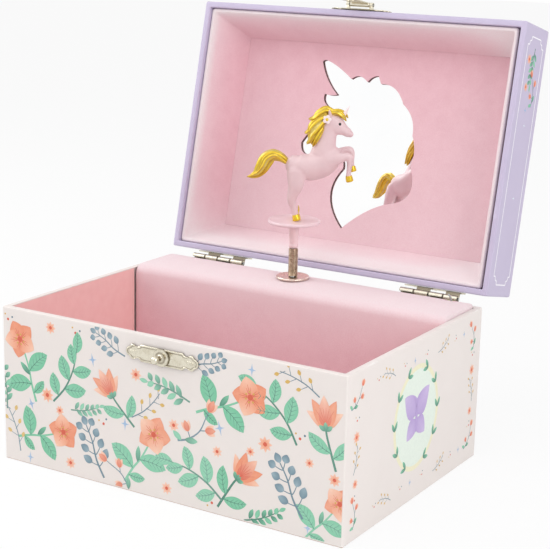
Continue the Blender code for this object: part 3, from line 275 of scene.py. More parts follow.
class Draft:
    """A mesh in the making, in millimetres, with an ink and a tone of painted light and shade on each vertex.
    """

    def __init__(self, mesh: bpy.types.Mesh | None = None) -> None:
        """Starts a draft.

        Args:
            mesh: A mesh to start from, or None for an empty draft.
        """
        self.bm = bmesh.new()
        if mesh is not None:
            self.bm.from_mesh(mesh)
        inks = self.bm.verts.layers.float_color
        painted_light_and_shade = self.bm.verts.layers.float
        self.ink = inks.get("Ink") or inks.new("Ink")
        # The layer called pile holds painted light on flock and painted shade on metal.
        self.pile = painted_light_and_shade.get("Painted light and shade") or painted_light_and_shade.new("Painted light and shade")

    def ring(self, points: Sequence[Row], pile: float = 0.0) -> Verts:
        """Adds a row of vertices.

        Args:
            points: Their places.
            pile: Their tone of painted light and shade.

        Returns:
            The vertices, in order.
        """
        verts = [self.bm.verts.new(point) for point in points]
        self.tone(verts, pile)
        return verts

    def tone(self, verts: Verts, pile: float) -> None:
        """Gives vertices a tone of painted light and shade."""
        for vert in verts:
            vert[self.pile] = pile

    def paint(self, verts: Verts, colour: Colour) -> None:
        """Gives vertices an ink."""
        for vert in verts:
            vert[self.ink] = linear(colour)

    def skin(self, lower: Verts, upper: Verts, slot: int = 0) -> None:
        """Joins two closed rings with faces.

        Args:
            lower: The first ring.
            upper: The second ring, of the same count.
            slot: The faces' material slot.
        """
        count = len(lower)
        for i in range(count):
            j = (i + 1) % count
            face = self.bm.faces.new((lower[i], lower[j], upper[j], upper[i]))
            face.material_index = slot

    def loft(
        self, rings: Sequence[Sequence[Row]], cyclic: bool = False, painted_light_and_shade: Row | None = None
    ) -> list[Verts]:
        """Joins rings into a closed skin.

        Args:
            rings: Closed rings of one count, in order.
            cyclic: Whether the last ring joins the first, instead of both getting caps.
            painted_light_and_shade: A tone of painted light and shade for each ring.

        Returns:
            The vertices of each ring.
        """
        tones = painted_light_and_shade or [0.0] * len(rings)
        made = [self.ring(points, tone) for points, tone in zip(rings, tones)]
        for lower, upper in zip(made, made[1:]):
            self.skin(lower, upper)
        if cyclic:
            self.skin(made[-1], made[0])
        else:
            self.bm.faces.new(list(reversed(made[0])))
            self.bm.faces.new(made[-1])
        return made

    def lathe(
        self, profile: Sequence[Row], sides: int, place: Matrix, cyclic: bool = False,
        ripple: Callable[[float, int], float] | None = None,
    ) -> list[Verts]:
        """Turns a profile about its own upright axis.

        Args:
            profile: Radius and height of each point.
            sides: Count of sides.
            place: Where the axis and its foot go.
            cyclic: Whether the profile closes on itself, as for a ring.
            ripple: Factor on the radius at an angle and a profile point.

        Returns:
            The vertices of each ring.
        """
        rings = []
        for i, (radius, height) in enumerate(profile):
            ring = []
            for k in range(sides):
                a = 2 * math.pi * k / sides
                r = max(radius, WELD / 10) * (ripple(a, i) if ripple else 1.0)
                ring.append(place @ Vector((r * math.cos(a), r * math.sin(a), height)))
            rings.append(ring)
        return self.loft(rings, cyclic)

    def tube(
        self, rows: Sequence[Row], sides: int, hint: Vector,
        ripple: Callable[[float, float], float] | None = None, round_ends: bool = True,
    ) -> list[Verts]:
        """Draws a round or oval limb along a line.

        Args:
            rows: Place, half thickness and half width at each point of the line.
            sides: Count of sides.
            hint: The direction that its width lies in.
            ripple: Factor on the radius at an angle and a share of the length.
            round_ends: Whether the ends are domes.

        Returns:
            The vertices of each ring.
        """
        line = [Vector(row[:3]) for row in rows]
        count = len(line)
        stations = []
        for i, (spot, row) in enumerate(zip(line, rows)):
            along = (line[min(i + 1, count - 1)] - line[max(i - 1, 0)]).normalized()
            stations.append((spot, along, row[3], row[4], i / (count - 1)))
        if round_ends:
            first, last = stations[0], stations[-1]
            for degrees in (35, 65, 85):
                a = math.radians(degrees)
                for (spot, along, thick, wide, t), sign in ((first, -1), (last, 1)):
                    dome = spot + along * (sign * min(thick, wide) * math.sin(a))
                    entry = (dome, along, thick * math.cos(a), wide * math.cos(a), t)
                    stations.insert(0 if sign < 0 else len(stations), entry)
        rings = []
        for spot, along, thick, wide, t in stations:
            side = (hint - along * hint.dot(along)).normalized()
            front = along.cross(side)
            ring = []
            for k in range(sides):
                a = 2 * math.pi * k / sides
                swell = ripple(a, t) if ripple else 1.0
                ring.append(spot + (front * (thick * math.cos(a)) + side * (wide * math.sin(a))) * swell)
            rings.append(ring)
        return self.loft(rings)

    def prism(self, outline: Sequence[Row], low: float, high: float, place: Matrix) -> None:
        """Draws an outline out into a plate between two heights of its own frame."""
        rings = [[place @ Vector((u, v, h)) for u, v in outline] for h in (low, high)]
        self.loft(rings)

    def block(self, low: Row, high: Row) -> None:
        """Adds a plain block between two corners."""
        outline = ((low[0], low[1]), (high[0], low[1]), (high[0], high[1]), (low[0], high[1]))
        self.prism(outline, low[2], high[2], Matrix.Identity(4))

    def soften(self, width: float, degrees: float = 40.0) -> None:
        """Bevels the sharp edges.

        Args:
            width: The bevel's width.
            degrees: The angle from which an edge is sharp.
        """
        bmesh.ops.recalc_face_normals(self.bm, faces=self.bm.faces[:])
        sharp = [
            edge for edge in self.bm.edges
            if len(edge.link_faces) == 2 and edge.calc_face_angle() > math.radians(degrees)
        ]
        bmesh.ops.bevel(
            self.bm, geom=sharp, offset=width, segments=2, profile=0.5, affect="EDGES", clamp_overlap=True
        )

    def mesh(self, name: str, turn: Matrix | None = None, scale: float = METRES) -> bpy.types.Mesh:
        """Makes the mesh, turned into place and scaled.

        Args:
            name: The mesh's name.
            turn: Where it goes, in millimetres.
            scale: The scale from drawing units.

        Returns:
            The new mesh.
        """
        bmesh.ops.remove_doubles(self.bm, verts=self.bm.verts[:], dist=WELD)
        bmesh.ops.recalc_face_normals(self.bm, faces=self.bm.faces[:])
        mesh = bpy.data.meshes.new(name)
        self.bm.to_mesh(mesh)
        self.bm.free()
        mesh.transform(Matrix.Scale(scale, 4) @ (turn or Matrix.Identity(4)))
        return mesh


def melt(draft: Draft, voxel: float, rounds: int) -> Draft:
    """Melts overlapping forms into one skin and smooths it.

    Args:
        draft: The forms.
        voxel: The size of detail that is kept.
        rounds: Rounds of smoothing.

    Returns:
        The skin as a new draft, in the same units.
    """
    item = add_item("melt", draft.mesh("melt", scale=1.0))
    skin = item.modifiers.new("Skin", "REMESH")
    skin.mode = "VOXEL"
    skin.voxel_size = voxel
    ease = item.modifiers.new("Ease", "SMOOTH")
    ease.factor = 0.5
    ease.iterations = rounds
    bake(item)
    mesh = item.data
    bpy.data.objects.remove(item)
    made = Draft(mesh)
    bpy.data.meshes.remove(mesh)
    return made


class Effect(Enum):
    """Shader groups that several finishes share."""

    MOTTLE = "Mottle"
    PILE = "Flock pile"
    HAIRLINE = "Metal hairlines"
    RUB = "Edge rub"


Tree = bpy.types.NodeTree
Node = bpy.types.Node
Socket = bpy.types.NodeSocket
Sockets = bpy.types.bpy_prop_collection


def feed(tree: Tree, socket: Socket, value: object) -> None:
    """Feeds an input.

    Args:
        tree: The tree that it is in.
        socket: The input.
        value: A socket that is linked to it, or a plain value.
    """
    if isinstance(value, Socket):
        tree.links.new(value, socket)
    else:
        socket.default_value = value


def add_node(tree: Tree, kind: str, inputs: dict | None = None, **settings: object) -> Node:
    """Adds a node.

    Args:
        tree: The tree that it goes in.
        kind: The node's type name.
        inputs: A value or a socket for each input, by its name or number.
        settings: Values for its own properties.

    Returns:
        The node.
    """
    node = tree.nodes.new(kind)
    for key, value in settings.items():
        setattr(node, key, value)
    for key, value in (inputs or {}).items():
        feed(tree, node.inputs[key], value)
    return node


def new_group(
    effect: Effect, inputs: dict[str, str], outputs: dict[str, str]
) -> tuple[Tree, Sockets, Sockets]:
    """Starts a shader group with named sockets.

    Args:
        effect: The effect that it makes.
        inputs: Socket types by name.
        outputs: Socket types by name.

    Returns:
        The tree, the sockets of what it is given and the sockets of what it puts out.
    """
    tree = bpy.data.node_groups.new(effect.value, "ShaderNodeTree")
    for way, sockets in (("INPUT", inputs), ("OUTPUT", outputs)):
        for name, kind in sockets.items():
            tree.interface.new_socket(name=name, in_out=way, socket_type=f"NodeSocket{kind}")
    given, out = tree.nodes.new("NodeGroupInput"), tree.nodes.new("NodeGroupOutput")
    return tree, given.outputs, out.inputs


def stretch(tree: Tree, socket: Socket, low: float, high: float) -> Socket:
    """Spreads a value so that low becomes 0 and high becomes 1, and returns the socket."""
    inputs = {"Value": socket, "From Min": low, "From Max": high}
    return add_node(tree, "ShaderNodeMapRange", inputs, clamp=True).outputs["Result"]


def combine(tree: Tree, operation: str, first: object, second: object) -> Socket:
    """Joins two values, each a socket or a number, and returns the result's socket."""
    return add_node(tree, "ShaderNodeMath", {0: first, 1: second}, operation=operation).outputs["Value"]


def mix_colour(tree: Tree, share: object, first: object, second: object, mode: str = "MIX") -> Socket:
    """Mixes two colours by the share of the second one, each a socket or a value, and returns the socket."""
    inputs = {0: share, 6: first, 7: second}
    return add_node(tree, "ShaderNodeMix", inputs, data_type="RGBA", blend_type=mode).outputs[2]


def noise(tree: Tree, scale: object, detail: float, squeeze: Row = (1.0, 1.0, 1.0)) -> Socket:
    """Adds a noise over the object's own space.

    Args:
        tree: The tree.
        scale: Its scale, a socket or a number.
        detail: Its detail.
        squeeze: Its scale along each axis.

    Returns:
        The socket of its value.
    """
    place = add_node(tree, "ShaderNodeTexCoord").outputs["Object"]
    mapping = add_node(tree, "ShaderNodeMapping", {"Vector": place, "Scale": squeeze})
    inputs = {"Vector": mapping.outputs["Vector"], "Scale": scale, "Detail": detail, "Roughness": 0.6}
    return add_node(tree, "ShaderNodeTexNoise", inputs).outputs[0]


def mottle_group() -> Tree:
    """Builds the uneven tone and fine tooth of paper, paint and moulded plastic.

    Returns:
        The group.
    """
    sockets = {"Colour": "Color", "Shade": "Color", "Scale": "Float", "Amount": "Float"}
    tree, given, out = new_group(Effect.MOTTLE, sockets, {"Colour": "Color", "Height": "Float"})
    cloud = stretch(tree, noise(tree, given["Scale"], 5.0), 0.35, 0.68)
    share = combine(tree, "MULTIPLY", cloud, given["Amount"])
    feed(tree, out["Colour"], mix_colour(tree, share, given["Colour"], given["Shade"]))
    fine = combine(tree, "MULTIPLY", given["Scale"], 6.0)
    feed(tree, out["Height"], noise(tree, fine, 3.0))
    return tree


def pile_group() -> Tree:
    """Builds flock: short fibres, brushed patches, and a paler tone painted where more light falls, as each
    vertex gives it.

    Returns:
        The group.
    """
    sockets = {"Colour": "Color", "Shade": "Color", "Pale": "Color", "Lit tone": "Float", "Scale": "Float"}
    tree, given, out = new_group(Effect.PILE, sockets, {"Colour": "Color", "Height": "Float"})
    fibre = noise(tree, given["Scale"], 4.0)
    broad = noise(tree, combine(tree, "MULTIPLY", given["Scale"], 0.06), 3.0)
    speck = stretch(tree, fibre, 0.36, 0.66)
    patch = stretch(tree, broad, 0.35, 0.7)
    share = combine(tree, "ADD", combine(tree, "MULTIPLY", speck, 0.5), combine(tree, "MULTIPLY", patch, 0.3))
    flock = mix_colour(tree, share, given["Colour"], given["Shade"])
    # The paler tone is painted light, broken up a little by the fibres.
    speckled_light = combine(tree, "SUBTRACT", 1.15, combine(tree, "MULTIPLY", speck, 0.4))
    pale = combine(tree, "MINIMUM", combine(tree, "MULTIPLY", given["Lit tone"], speckled_light), 1.0)
    feed(tree, out["Colour"], mix_colour(tree, pale, flock, given["Pale"]))
    feed(tree, out["Height"], fibre)
    return tree


# The dark brown that painted shade tints metal towards.
PAINTED_SHADE_TINT = (0.2, 0.16, 0.12, 1.0)


def hairline_group() -> Tree:
    """Builds drawn or stamped metal: fine lines, dull spots, and painted shade in its hollows.

    Returns:
        The group.
    """
    sockets = {"Colour": "Color", "Shade": "Color", "Painted shade": "Float", "Scale": "Float"}
    sockets |= {"Smooth": "Float", "Rough": "Float"}
    results = {"Colour": "Color", "Roughness": "Float", "Height": "Float"}
    tree, given, out = new_group(Effect.HAIRLINE, sockets, results)
    lines = noise(tree, given["Scale"], 3.0, (0.12, 1.0, 1.0))
    coarse = combine(tree, "MULTIPLY", given["Scale"], 0.25)
    spots = stretch(tree, noise(tree, coarse, 4.0), 0.42, 0.7)
    colour = mix_colour(tree, spots, given["Colour"], given["Shade"])
    shade_tinted = mix_colour(tree, 1.0, colour, PAINTED_SHADE_TINT, "MULTIPLY")
    feed(tree, out["Colour"], mix_colour(tree, given["Painted shade"], colour, shade_tinted))
    spread = combine(tree, "SUBTRACT", given["Rough"], given["Smooth"])
    dull = combine(tree, "MULTIPLY", stretch(tree, lines, 0.3, 0.7), spread)
    feed(tree, out["Roughness"], combine(tree, "ADD", given["Smooth"], dull))
    feed(tree, out["Height"], lines)
    return tree


def rub_group() -> Tree:
    """Builds a mask of wear along edges.

    Returns:
        The group.
    """
    tree, given, out = new_group(Effect.RUB, {"Scale": "Float", "Amount": "Float"}, {"Mask": "Float"})
    edge = add_node(tree, "ShaderNodeNewGeometry").outputs["Pointiness"]
    edge_band = stretch(tree, edge, 0.53, 0.62)
    broken = stretch(tree, noise(tree, given["Scale"], 4.0), 0.42, 0.62)
    patchy = combine(tree, "MULTIPLY", edge_band, broken)
    feed(tree, out["Mask"], combine(tree, "MULTIPLY", patchy, given["Amount"]))
    return tree


GROUPS: dict[Effect, Callable[[], Tree]] = {
    Effect.MOTTLE: mottle_group,
    Effect.PILE: pile_group,
    Effect.HAIRLINE: hairline_group,
    Effect.RUB: rub_group,
}


def place_effect(tree: Tree, effect: Effect, inputs: dict[str, object]) -> Node:
    """Places a shared effect in a material with a value or a socket for each input, and returns its node."""
    group = bpy.data.node_groups.get(effect.value) or GROUPS[effect]()
    return add_node(tree, "ShaderNodeGroup", inputs, node_tree=group)


def vertex_value(tree: Tree, name: str, output: str) -> Socket:
    """Returns the socket of a value that each vertex holds."""
    return add_node(tree, "ShaderNodeAttribute", attribute_name=name).outputs[output]


@dataclass(frozen=True)
class Finish:
    """A surface finish, made once as a material."""

    name: str
    slot: str
    colour: Colour
    shade: Colour
    roughness: float = 0.5
    scale: float = 400.0
    amount: float = 0.5
    relief: float = 0.02

    def material(self) -> bpy.types.Material:
        """Makes the finish's material on first use.

        Returns:
            The material.
        """
        made = bpy.data.materials.get(self.name)
        if made is None:
            made = bpy.data.materials.new(self.name)
            made.use_nodes = True
            shader = made.node_tree.nodes["Principled BSDF"]
            shader.inputs["Roughness"].default_value = self.roughness
            self.wire(made.node_tree, shader)
        return made

    def wire(self, tree: Tree, shader: Node) -> None:
        """Wires a mottled surface: the plain finish."""
        self.lay(tree, shader, self.mottle(tree, linear(self.colour), linear(self.shade)))

    def mottle(self, tree: Tree, colour: object, shade: object) -> Node:
        """Places the mottle effect with this finish's scale and amount."""
        inputs = {"Colour": colour, "Shade": shade, "Scale": self.scale, "Amount": self.amount}
        return place_effect(tree, Effect.MOTTLE, inputs)

    def lay(self, tree: Tree, shader: Node, effect: Node) -> None:
        """Feeds an effect's colour and height to the shader."""
        feed(tree, shader.inputs["Base Color"], effect.outputs["Colour"])
        self.emboss(tree, shader, effect.outputs["Height"])

    def emboss(self, tree: Tree, shader: Node, height: Socket) -> None:
        """Feeds a height to the shader's normal, with the finish's relief in millimetres."""
        inputs = {"Height": height, "Strength": 1.0, "Distance": self.relief * METRES}
        feed(tree, shader.inputs["Normal"], add_node(tree, "ShaderNodeBump", inputs).outputs["Normal"])


@dataclass(frozen=True)
class Paper(Finish):
    """Printed paper over board, rubbed pale along its edges."""

    core: Colour = (246, 243, 240)
    # A brown band along the bottom edge of the wrap, board_height tall.
    board: Colour | None = None
    board_height: float = 0.3
    rub_scale: float = 300.0
    rub: float = 0.6

    def wire(self, tree: Tree, shader: Node) -> None:
        """Wires paper, its rubbed edges and a brown band along its foot.

        Args:
            tree: The material's tree.
            shader: Its shader.
        """
        paper = self.mottle(tree, linear(self.colour), linear(self.shade))
        rubbed = place_effect(tree, Effect.RUB, {"Scale": self.rub_scale, "Amount": self.rub})
        colour = mix_colour(tree, rubbed.outputs["Mask"], paper.outputs["Colour"], linear(self.core))
        if self.board:
            place = add_node(tree, "ShaderNodeTexCoord").outputs["Object"]
            height = add_node(tree, "ShaderNodeSeparateXYZ", {"Vector": place}).outputs["Z"]
            edge = self.board_height * METRES
            foot = stretch(tree, height, edge * 1.2, edge * 0.8)
            colour = mix_colour(tree, foot, colour, linear(self.board))
        feed(tree, shader.inputs["Base Color"], colour)
        self.emboss(tree, shader, paper.outputs["Height"])


@dataclass(frozen=True)
class Painted(Finish):
    """A finish whose colour comes from each vertex: printed ink or paint."""

    metallic: float = 0.0
    coat: float = 0.0

    def wire(self, tree: Tree, shader: Node) -> None:
        """Wires the ink with a slight pooling of its tone.

        Args:
            tree: The material's tree.
            shader: Its shader.
        """
        ink = vertex_value(tree, "Ink", "Color")
        pooled = mix_colour(tree, 1.0, ink, linear(self.shade), "MULTIPLY")
        shader.inputs["Metallic"].default_value = self.metallic
        shader.inputs["Coat Weight"].default_value = self.coat
        self.lay(tree, shader, self.mottle(tree, ink, pooled))


@dataclass(frozen=True)
class Flock(Finish):
    """Flocked fabric with a short, dull pile."""

    # The colour that the flock's painted light brightens it towards.
    pale: Colour = (236, 225, 227)
    sheen: float = 0.12
    sheen_roughness: float = 0.5
    specular: float = 0.1

    def wire(self, tree: Tree, shader: Node) -> None:
        """Wires the pile and its sheen.

        Args:
            tree: The material's tree.
            shader: Its shader.
        """
        pile = place_effect(tree, Effect.PILE, {
            "Colour": linear(self.colour),
            "Shade": linear(self.shade),
            "Pale": linear(self.pale),
            "Lit tone": vertex_value(tree, "Painted light and shade", "Fac"),
            "Scale": self.scale,
        })
        shader.inputs["Sheen Weight"].default_value = self.sheen
        shader.inputs["Sheen Roughness"].default_value = self.sheen_roughness
        shader.inputs["Specular IOR Level"].default_value = self.specular
        self.lay(tree, shader, pile)


@dataclass(frozen=True)
class Metal(Finish):
    """Plated or bare metal with fine lines."""

    dull: float = 0.4

    def wire(self, tree: Tree, shader: Node) -> None:
        """Wires the hairlines.

        Args:
            tree: The material's tree.
            shader: Its shader.
        """
        # Each vertex's tone of painted shade darkens the metal.
        lines = place_effect(tree, Effect.HAIRLINE, {
            "Colour": linear(self.colour),
            "Shade": linear(self.shade),
            "Painted shade": vertex_value(tree, "Painted light and shade", "Fac"),
            "Scale": self.scale,
            "Smooth": self.roughness,
            "Rough": self.dull,
        })
        shader.inputs["Metallic"].default_value = 1.0
        feed(tree, shader.inputs["Roughness"], lines.outputs["Roughness"])
        self.lay(tree, shader, lines)


@dataclass(frozen=True)
class Mirror(Finish):
    """Silvered glass with the faintest clouding."""

    def wire(self, tree: Tree, shader: Node) -> None:
        """Wires the silvering.

        Args:
            tree: The material's tree.
            shader: Its shader.
        """
        silver = self.mottle(tree, linear(self.colour), linear(self.shade))
        shader.inputs["Metallic"].default_value = 1.0
        feed(tree, shader.inputs["Base Color"], silver.outputs["Colour"])


PRINTED_PAPER = Paper(
    "Printed paper", "printed_paper", (231, 223, 219), (228, 219, 215), 0.5, 90.0, 0.4, 0.003,
    board=(186, 146, 120),
)
LAVENDER_PAPER = Paper(
    "Lavender paper", "lavender_paper", (196, 186, 211), (191, 180, 207), 0.48, 90.0, 0.4, 0.003,
    core=(226, 218, 240),
)
PRINT_INK = Painted(
    "Print ink", "printed_paper", (240, 240, 240), (226, 226, 229), 0.5, 900.0, 0.2, 0.002
)
LID_INK = Painted("Lid ink", "lavender_paper", (240, 240, 240), (226, 226, 230), 0.5, 900.0, 0.25, 0.002)
SALMON_CARD = Finish("Salmon card", "salmon_card", (246, 199, 196), (241, 188, 186), 0.6, 220.0, 0.6, 0.01)
PINK_FLOCK = Flock("Pink flock", "pink_flock", (232, 191, 199), (219, 169, 180), 0.95, 3000.0, 1.0, 0.05)
BOARD_EDGE = Finish("Cut board edge", "pink_flock", (98, 74, 70), (70, 52, 50), 0.9, 900.0, 1.0, 0.03)
NICKEL = Metal(
    "Champagne nickel", "champagne_nickel", (226, 220, 202), (210, 202, 182), 0.14, 1600.0, 1.0, 0.004, 0.34
)
SPRING_NICKEL = Metal(
    "Spring wire", "champagne_nickel", (190, 172, 150), (150, 130, 108), 0.22, 2200.0, 1.0, 0.004, 0.42
)
RING_NICKEL = Metal(
    "Ring plate", "champagne_nickel", (240, 226, 214), (214, 196, 180), 0.2, 1600.0, 1.0, 0.004, 0.4
)
STEEL = Metal("Bright steel", "steel", (190, 190, 188), (150, 150, 148), 0.2, 1400.0, 1.0, 0.004, 0.42)
BRASS = Metal("Brass", "brass", (206, 176, 112), (168, 138, 80), 0.2, 1400.0, 1.0, 0.004, 0.42)
MIRROR = Mirror("Silvered mirror", "mirror_glass", (254, 254, 254), (250, 251, 252), 0.015, 60.0, 0.5)
FIGURE_PINK = Painted(
    "Moulded pink", "figure_pink", (227, 199, 202), (246, 240, 241), 0.42, 160.0, 0.8, 0.004, coat=0.12
)
GOLD_PAINT = Painted(
    "Gold paint", "gold_paint", (236, 204, 62), (226, 214, 186), 0.27, 700.0, 0.7, 0.01, metallic=0.6
)
EYE_BLACK = Painted(
    "Eye paint", "figure_pink", (24, 20, 22), (220, 220, 220), 0.12, 600.0, 0.5, 0.001, coat=0.5
)

STAND_PINK: Colour = (238, 213, 218)
STEM_PINK: Colour = (248, 224, 226)
HORN_PINK: Colour = (247, 232, 232)
PETAL_PINK: Colour = (248, 236, 238)
STAMEN_GOLD: Colour = (232, 200, 40)
# Painted shade and painted highlight for the grooves of the gold locks.
GOLD_SHADE: Colour = (158, 122, 28)
SILVER_HIGHLIGHT: Colour = (206, 202, 172)


def publish(
    draft: Draft, name: str, finishes: Sequence[Finish], body: str | None, nodes: Sequence[str] = (),
    turn: Matrix | None = None, degrees: float = SHARP,
) -> bpy.types.Object:
    """Makes a draft a piece of the scene.

    Args:
        draft: The mesh, in millimetres.
        name: The piece's name.
        finishes: Its finishes, one for each material slot.
        body: The body that it rides on, or None if it is joined later.
        nodes: CAD nodes that it stands for.
        turn: Where it goes.
        degrees: The angle from which edges are sharp.

    Returns:
        The piece.
    """
    mesh = draft.mesh(name, turn)
    for finish in finishes:
        mesh.materials.append(finish.material())
    sharpen(mesh, degrees)
    item = add_item(name, mesh)
    if body:
        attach(item, body)
    if nodes:
        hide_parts(*nodes)
    LOG.info("%s on %s", name, body or "two bodies")
    return item


def carve(item: bpy.types.Object, cutter: Draft, degrees: float = SHARP) -> None:
    """Cuts a draft out of a piece.

    Args:
        item: The piece.
        cutter: What is cut away, in millimetres.
        degrees: The angle from which the piece's edges are sharp.
    """
    tool = add_item("cutter", cutter.mesh("cutter"))
    cut = item.modifiers.new("Cut", "BOOLEAN")
    cut.operation = "DIFFERENCE"
    cut.solver = "EXACT"
    cut.object = tool
    bake(item)
    mesh = tool.data
    bpy.data.objects.remove(tool)
    bpy.data.meshes.remove(mesh)
    sharpen(item.data, degrees)


def dress(node: str, finish: Finish) -> None:
    """Gives a CAD node that stays a finish.

    Args:
        node: The node's name.
        finish: The finish.
    """
    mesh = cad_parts[node].data
    mesh.materials.clear()
    mesh.materials.append(finish.material())
    LOG.info("%s dressed in %s", node, finish.name)


def along_y(x: float, y: float, z: float, outwards: int = 1) -> Matrix:
    """Returns a frame whose upright axis points along Y, to the back or, with -1, to the front."""
    return Matrix.Translation((x, y, z)) @ Matrix.Rotation(math.radians(-90 * outwards), 4, "X")


def along_x(x: float, y: float, z: float) -> Matrix:
    """Returns a frame whose upright axis points along X."""
    return Matrix.Translation((x, y, z)) @ Matrix.Rotation(math.radians(90), 4, "Y")


@dataclass
class Studio:
    """The camera at the photograph's angle, soft lamps, a white world and a pale floor."""

    azimuth: float = 31.40
    elevation: float = 13.88
    roll: float = 1.277
    target: Row = (13.2, 0.0, 76.5)
    distance: float = 567.6
    lens: float = 97.38
    fill: float = 0.7
    flag: Row = (0.86, -0.5, 0.12)
    flag_edge: Row = (0.55, 0.95)
    flag_dark: float = 0.85
    floor_half: float = 3000.0
    floor_round: float = 400.0
    floor_z: float = -0.05
    floor_grey: float = 0.88
    floor_white: float = 0.86

    def build(self) -> None:
        """Makes all of it."""
        scene = bpy.context.scene
        scene.view_settings.view_transform = "Standard"
        self.camera(scene)
        self.world(scene)
        self.floor()
        self.lamp("top_lamp", (-40.0, -220.0, 760.0), (0.0, 10.0, 60.0), 620.0, 0.35)
        self.lamp("right_lamp", (640.0, -250.0, 420.0), (0.0, 0.0, 60.0), 420.0, 1.78)
        self.lamp("left_lamp", (-620.0, -160.0, 480.0), (0.0, 0.0, 70.0), 420.0, 1.95)
        self.lamp("front_lamp", (-80.0, -480.0, 680.0), (0.0, 0.0, 60.0), 480.0, 0.68)

    def camera(self, scene: bpy.types.Scene) -> None:
        """Sets the camera.

        Args:
            scene: The scene that it is for.
        """
        az, el, roll = (math.radians(a) for a in (self.azimuth, self.elevation, self.roll))
        back = Vector((math.sin(az) * math.cos(el), -math.cos(az) * math.cos(el), math.sin(el)))
        level = Vector((math.cos(az), math.sin(az), 0.0))
        upright = back.cross(level)
        right = level * math.cos(roll) + upright * math.sin(roll)
        up = upright * math.cos(roll) - level * math.sin(roll)
        data = bpy.data.cameras.new("portrait_camera")
        data.sensor_fit = "HORIZONTAL"
        data.sensor_width = 36.0
        data.lens = self.lens
        data.clip_start = 0.01
        item = add_item("portrait_camera", data)
        place = Matrix((right, up, back)).transposed().to_4x4()
        place.translation = (Vector(self.target) + back * self.distance) * METRES
        item.matrix_world = place
        scene.camera = item

    def world(self, scene: bpy.types.Scene) -> None:
        """Makes a world that is white where it is seen and softer where it lights.

        Args:
            scene: The scene that it is for.
        """
        world = bpy.data.worlds.new("studio")
        scene.world = world
        world.use_nodes = True
        tree = world.node_tree
        tree.nodes.clear()
        path = add_node(tree, "ShaderNodeLightPath").outputs
        way = add_node(tree, "ShaderNodeTexCoord").outputs["Generated"]
        facing = add_node(tree, "ShaderNodeVectorMath", {0: way, 1: self.flag}, operation="DOT_PRODUCT")
        near = stretch(tree, facing.outputs["Value"], *self.flag_edge)
        bright = combine(tree, "SUBTRACT", 1.0, combine(tree, "MULTIPLY", near, self.flag_dark))
        glossy = combine(tree, "MULTIPLY", path["Is Glossy Ray"], bright)
        seen = combine(tree, "MAXIMUM", path["Is Camera Ray"], path["Is Transmission Ray"])
        seen = combine(tree, "MAXIMUM", seen, glossy)
        light, white = (
            add_node(tree, "ShaderNodeBackground", {"Color": (1.0, 1.0, 1.0, 1.0), "Strength": strength})
            for strength in (self.fill, 1.0)
        )
        both = add_node(tree, "ShaderNodeMixShader", {0: seen, 1: light.outputs[0], 2: white.outputs[0]})
        add_node(tree, "ShaderNodeOutputWorld", {"Surface": both.outputs[0]})

    def floor(self) -> None:
        """Lays a pale floor that keeps the box's shadow."""
        draft = Draft()
        outline = rounded_ring(self.floor_half, self.floor_half, self.floor_round, self.floor_z)
        draft.bm.faces.new(draft.ring(outline))
        mesh = draft.mesh("floor")
        item = add_item("floor", mesh)
        material = bpy.data.materials.new("Pale floor")
        material.use_nodes = True
        tree = material.node_tree
        shader = tree.nodes["Principled BSDF"]
        shader.inputs["Base Color"].default_value = (self.floor_grey, self.floor_grey, self.floor_grey, 1.0)
        shader.inputs["Roughness"].default_value = 0.9
        path = add_node(tree, "ShaderNodeLightPath").outputs
        seen = combine(tree, "MAXIMUM", path["Is Camera Ray"], path["Is Glossy Ray"])
        share = combine(tree, "MULTIPLY", seen, self.floor_white)
        white = add_node(tree, "ShaderNodeEmission", {"Strength": 1.0})
        both = add_node(tree, "ShaderNodeMixShader", {0: share, 1: shader.outputs[0], 2: white.outputs[0]})
        feed(tree, tree.nodes["Material Output"].inputs["Surface"], both.outputs[0])
        mesh.materials.append(material)

    def lamp(self, name: str, place: Row, target: Row, size: float, power: float) -> None:
        """Hangs a square soft lamp.

        Args:
            name: Its name.
            place: Where it hangs.
            target: What it points at.
            size: Its side.
            power: Its power in watts.
        """
        data = bpy.data.lights.new(name, "AREA")
        data.shape = "SQUARE"
        data.size = size * METRES
        data.energy = power
        item = add_item(name, data)
        away = Vector(place) - Vector(target)
        item.matrix_world = away.to_track_quat("Z", "Y").to_matrix().to_4x4()
        item.location = Vector(place) * METRES


